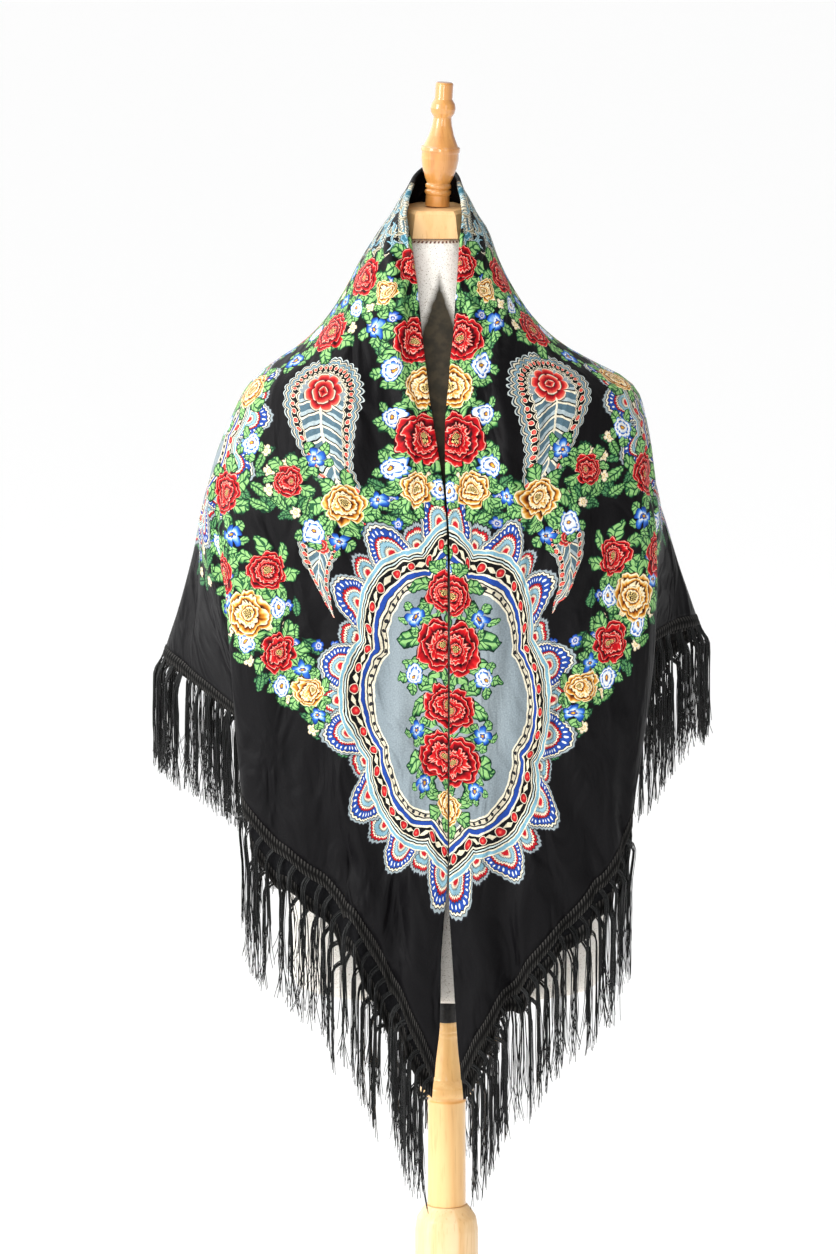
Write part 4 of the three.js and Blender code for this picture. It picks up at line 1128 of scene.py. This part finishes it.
colour = lay(colour, dyes(tone, LEAF), both(on, clear))
tone, on = petals(daisy_reach, daisy_angle, [(1.0, 11, 0.0, 0.22), (0.66, 9, 0.3, 0.2), (0.24, 5, 0, 0.2)])
white_daisy = dyes(tone, [(0, "f7f3e8"), (0.5, "eef2f4"), (0.72, "5b93dc"), (0.9, "1d4fb0"), (1.0, "10296a")])
tone_five, on_five = petals(daisy_reach, daisy_angle, [(1.0, 5, 0.1, 0.55), (0.34, 5, 0.6, 0.3)])
blue_flower = dyes(tone_five, [(0, "f6f2e6"), (0.3, "8fbdf0"), (0.55, "2f6fd0"), (0.88, "153c92"),
                               (1.0, "0c1f52")])
colour = lay(colour, lay(white_daisy, blue_flower, daisy_kind), choose("FLOAT", daisy_kind, on, on_five))
heart = dyes(daisy_reach * 5, [(0, "f3d25c"), (0.6, "d98a1e"), (0.85, "3a2408")])
colour = lay(colour, heart, below_value(daisy_reach, 0.19))
inner_q = q + 0.10
inner_reach = work("SQRT", p * p + inner_q * inner_q)
inner_angle = work("ARCTAN2", inner_q, p)
tone, on = petals(rose_reach, rose_angle, [(1.06, 7, 0.0, 0.20), (0.84, 5, 0.4, 0.16), (0.62, 5, 0.9, 0.2)])
tone_in, on_in = petals(inner_reach, inner_angle + inner_reach * 1.2,
                        [(0.46, 4, 0.2, 0.25), (0.28, 3, 0.6, 0.2)])
streaks = work("SINE", rose_angle * 17 + fray * 14) * 0.09
tone = choose("FLOAT", on_in, tone, tone_in) + (fray - 0.5) * 0.3 + streaks
tone = tone + (q - p) * 0.07
red_rose = dyes(tone, [(0.0, "260104"), (0.22, "640510"), (0.42, "a80a16"), (0.62, "cc131c"),
                       (0.75, "e63c34"), (0.82, "fbd6c0"), (0.87, "c81c22"), (0.94, "2c0306")])
gold_rose = dyes(tone, [(0.0, "3a1404"), (0.2, "8a4210"), (0.42, "d68a26"), (0.6, "f0c46c"), (0.8, "fbf2d8"),
                        (0.9, "f4ddaa"), (0.96, "4e2a0c")])
colour = lay(colour, lay(red_rose, gold_rose, gold), both(on, clear))
stamens = work("SINE", inner_angle * 7) * work("SINE", inner_reach * 70)
centre = lay(tint("2c0a0a"), tint("f6d98a"), work("GREATER_THAN", stamens, 0.15))
colour = lay(colour, centre, below_value(inner_reach, 0.17))

# the twill shows as fine light and dark specks, over the soft wrinkles of cloth that has been folded away
def darkened(colour, share):
    """A colour times this share of itself."""
    step = step_on("VectorMath", (colour,), operation="SCALE")
    feed(step.inputs["Scale"], share)
    return Measure(step.outputs[0])


TWILL_WAY = (5200, 900, 0)
WRINKLED = 5.5                  # how strongly the wrinkles stand out
twill = work("SINE", vector("DOT_PRODUCT", flat_place, TWILL_WAY, out=1))
grain = noise(flat_place, TWILL, detail=1.0) + twill * 0.12
wrinkles = noise(vector("MULTIPLY", flat_place, (0.55, 1.3, 1)), 15, detail=2.5, distortion=0.8)
rumple = wrinkles - 0.5
feed(wool_shader.inputs["Base Color"], darkened(colour, grain * 0.7 + 0.66))
raise_by(wool_shader, work("SQRT", rumple * rumple + 0.0009) * WRINKLED + grain * 0.05, 0.004)

# Each hem is finished with a firm flat braid of black cord, sewn over the raw edge. Its cross ribs lie close
# together in two rows that lean against each other along a groove.
BRAID_WIDE, BRAID_THICK, RIB = 0.0116, 0.0032, 0.0039
RIB_LEAN = 0.0016                # how far each row's ribs lean between the groove and the edge
OVERLAP, WAVER = 0.0006, 0.0004  # how far the braid covers the raw edge, and how unevenly
RIB_STEPS, ROUND_STEPS = 6, 16   # along each rib, and round the braid
HEMS = [(f"{'under' if under else 'outer'}_{'left' if left else 'right'}", under, left)
        for under in (False, True) for left in (True, False)]
braid_cord, braid_tree, braid_shader = new_material("black braid", 0.6, Specular_IOR_Level=0.09)
fuzz = noise(object_place(braid_tree), 700, detail=3)
rib_height = braid_tree.nodes.new("ShaderNodeAttribute")
rib_height.attribute_name = "rib"
# the braid's colour follows each rib's height: painted shade in the grooves between the ribs and along the
# middle groove, and a painted highlight on the crests
painted_rib_shade_and_highlight = ramped(Measure(rib_height.outputs["Fac"]), 0.55, 1, 0.05, 1.3)
feed(braid_shader.inputs["Base Color"], darkened(dyes(fuzz, [(0.3, "2c2b2a"), (0.75, "4a4845")]), painted_rib_shade_and_highlight))
raise_by(braid_shader, fuzz, 0.0004, 0.4)

spine = int(np.argmin(np.abs(columns - 1)))
under_hem = hanging_below[:, -1]


def hem_run(under, left, end_gap):
    """One hem from a front point to the back point: a reader of place, fall, outward way and lengthening."""
    part = slice(0, spine + 1) if left else slice(len(columns) - 1, spine - 1, -1)
    place = (under_hem if under else outer_layer[:, -1])[part]
    run = lengths(place)
    keep = np.concatenate(((True,), np.diff(run) > 0.0015))
    place, run = place[keep], run[keep]
    fall, way, longer = hem_fall[part][keep], outward[:, -1][part][keep], 1 / hem_slope[part][keep]
    bend = under_below[part][keep]

    def at(where):
        where = np.clip(where, end_gap, run[-1] - end_gap)
        point = read_free(run, place, where)
        ahead = read_free(run, place, where + 0.002) - read_free(run, place, where - 0.002)
        ahead /= np.linalg.norm(ahead, axis=-1, keepdims=True)
        down_way = read_free(run, fall, where)
        down_way /= np.linalg.norm(down_way, axis=-1, keepdims=True)
        out = read_free(run, way, where)
        out /= np.linalg.norm(out, axis=-1, keepdims=True)
        return point, ahead, down_way, out, read_free(run, longer, where), read_free(run, bend, where)

    return at, run[-1]


for label, under, left in HEMS:
    at, total = hem_run(under, left, 0.0)
    count = int(total / RIB) * RIB_STEPS
    where = np.linspace(0.001, total - 0.0012, count + 1)
    point, ahead, down_way, out, longer, _ = at(where)
    around = np.linspace(0, 2 * math.pi, ROUND_STEPS + 1)
    wide = 0.5 - 0.5 * np.cos(around)
    rows = 0.55 + 0.45 * np.abs(2 * wide - 1) ** 0.5
    lift = np.sign(np.sin(around)) * np.abs(np.sin(around)) ** 0.4 * (0.5 + rows / 2)
    slant = where[:, None] + RIB_LEAN * np.abs(2 * wide - 1)[None, :]
    rib = np.abs(np.sin(math.pi * slant / RIB)) ** 0.7
    lift = lift[None, :] * BRAID_THICK / 2 * (0.35 + 0.65 * rib)
    # the rib values kept for the colour also fall towards the middle groove, for painted shade there
    rib *= rows
    drop = (wide[None, :] * BRAID_WIDE - OVERLAP + WAVER * np.sin(where * 130)[:, None]) * longer[:, None]
    ring = point[:, None] + down_way[:, None] * drop[..., None] + out[:, None] * lift[..., None]
    braid = bmesh.new()
    bmesh.ops.create_grid(braid, x_segments=count, y_segments=ROUND_STEPS, size=0.5, calc_uvs=False)
    rib_layer = braid.verts.layers.float.new("rib")
    for vert in braid.verts:
        spot = round((vert.co.x + 0.5) * count), round((vert.co.y + 0.5) * ROUND_STEPS)
        vert.co, vert[rib_layer] = ring[spot], rib[spot]
    bmesh.ops.remove_doubles(braid, verts=braid.verts[:], dist=1e-6)
    bmesh.ops.holes_fill(braid, edges=[edge for edge in braid.edges if edge.is_boundary],
                         sides=ROUND_STEPS)
    bmesh.ops.recalc_face_normals(braid, faces=braid.faces[:])
    heading = mesh_piece(f"braid_{label}", braid, braid_cord)
    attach(heading, "root")
    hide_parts(f"heading_{label}")

# The fringes are bunches of twelve glossy viscose threads, looped through the braid every sixteen
# millimetres. They leave it squarely, bend over and hang straight down, a hand's breadth long, with frayed
# uneven ends.
THREAD, BUNCH, THREADS, FRINGE_LONG = 0.0009, 0.0158, 12, 0.113
TUCKED = 0.0012                  # how far above the braid's lower edge the threads leave it
BEND_LONG, PLUMB_LONG = 0.020, 0.022    # in what length they bend over, and in what length they turn plumb
PAST_HEM = 0.004                 # how far past the under layer's hem the outer threads begin to turn plumb
viscose, viscose_tree, viscose_shader = new_material("black viscose", 0.27, Specular_IOR_Level=0.4)
which = viscose_tree.nodes.new("ShaderNodeNewGeometry")
feed(viscose_shader.inputs["Base Color"],
     dyes(Measure(which.outputs["Random Per Island"]), [(0.2, "050506"), (1.0, "141716")]))

plumb = np.array((0, 0, -1))
shares = np.array((0, 0.035, 0.08, 0.14, 0.21, 0.30, 0.42, 0.56, 0.71, 0.86, 1.0))
for label, under, left in HEMS:
    chance = random.Random(f"fringe {label}")
    at, total = hem_run(under, left, 0.002)
    bunches = int(total / BUNCH)
    threads = bpy.data.curves.new(f"threads_{label}", "CURVE")
    threads.dimensions = "3D"
    threads.bevel_depth = THREAD / 2
    threads.bevel_resolution = 0
    threads.use_fill_caps = True
    middle = (np.arange(bunches) + 0.5) * total / bunches
    middle += np.array([chance.uniform(-0.0016, 0.0016) for _ in middle])
    point, ahead, down_way, out, longer, bend = at(middle)
    for k in range(bunches):
        square = down_way[k] - ahead[k] * np.dot(down_way[k], ahead[k])
        square /= np.linalg.norm(square)
        start = point[k] + down_way[k] * (BRAID_WIDE - TUCKED) * longer[k]
        hold = 0.0 if under else bend[k] + PAST_HEM
        fullness = chance.uniform(0.75, 1.3)
        lean = chance.uniform(-0.06, 0.06)
        for _ in range(THREADS):
            reach = FRINGE_LONG * chance.uniform(0.88, 1.04)
            spread = chance.gauss(0, 0.0021) * fullness
            near = chance.uniform(-0.0024, 0.0024)
            off = chance.uniform(0.0, 0.0012)
            out_by = chance.gauss(0.0022, 0.0012)
            phase, waves = chance.uniform(0, 6.28), chance.uniform(2.0, 6.0)
            sway = chance.uniform(0.0003, 0.0011)
            way = [start + ahead[k] * near + out[k] * off]
            for low, high in zip(shares, shares[1:]):
                here_at = (low + high) / 2 * reach
                over = soft(here_at / BEND_LONG)
                hang = soft((here_at - hold) / PLUMB_LONG)
                lead = square * (1 - over) + (down_way[k] * (1 - hang) + plumb * hang) * over
                lead = lead / np.linalg.norm(lead)
                way.append(way[-1] + lead * (high - low) * reach)
            way = np.array(way)
            run = shares[:, None]
            frizz = np.clip(run - 0.75, 0, 1) * chance.gauss(0, 0.02)
            way += ahead[k] * (spread * soft(run * 1.6) + lean * run ** 2 * 0.05
                               + sway * run * np.sin(run * waves * 3 + phase) + frizz)
            way += out[k] * (out_by * soft(run * 5) + sway * run * np.cos(run * waves * 2.3 + phase))
            spline = threads.splines.new("POLY")
            spline.points.add(len(way) - 1)
            spline.points.foreach_set("co", np.hstack((way, np.ones((len(way), 1)))).ravel())
            spline.points.foreach_set("radius", 1.0 - 0.35 * shares)
    hung = bpy.data.objects.new(f"threads_{label}", threads)
    bpy.context.scene.collection.objects.link(hung)
    bpy.context.view_layer.update()
    made = bpy.data.meshes.new_from_object(hung.evaluated_get(bpy.context.evaluated_depsgraph_get()))
    bpy.data.objects.remove(hung)
    made.materials.clear()
    made.materials.append(viscose)
    made.shade_smooth()
    fringe = bpy.data.objects.new(f"threads_{label}", made)
    bpy.context.scene.collection.objects.link(fringe)
    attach(fringe, "root")
    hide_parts(f"fringe_{label}")
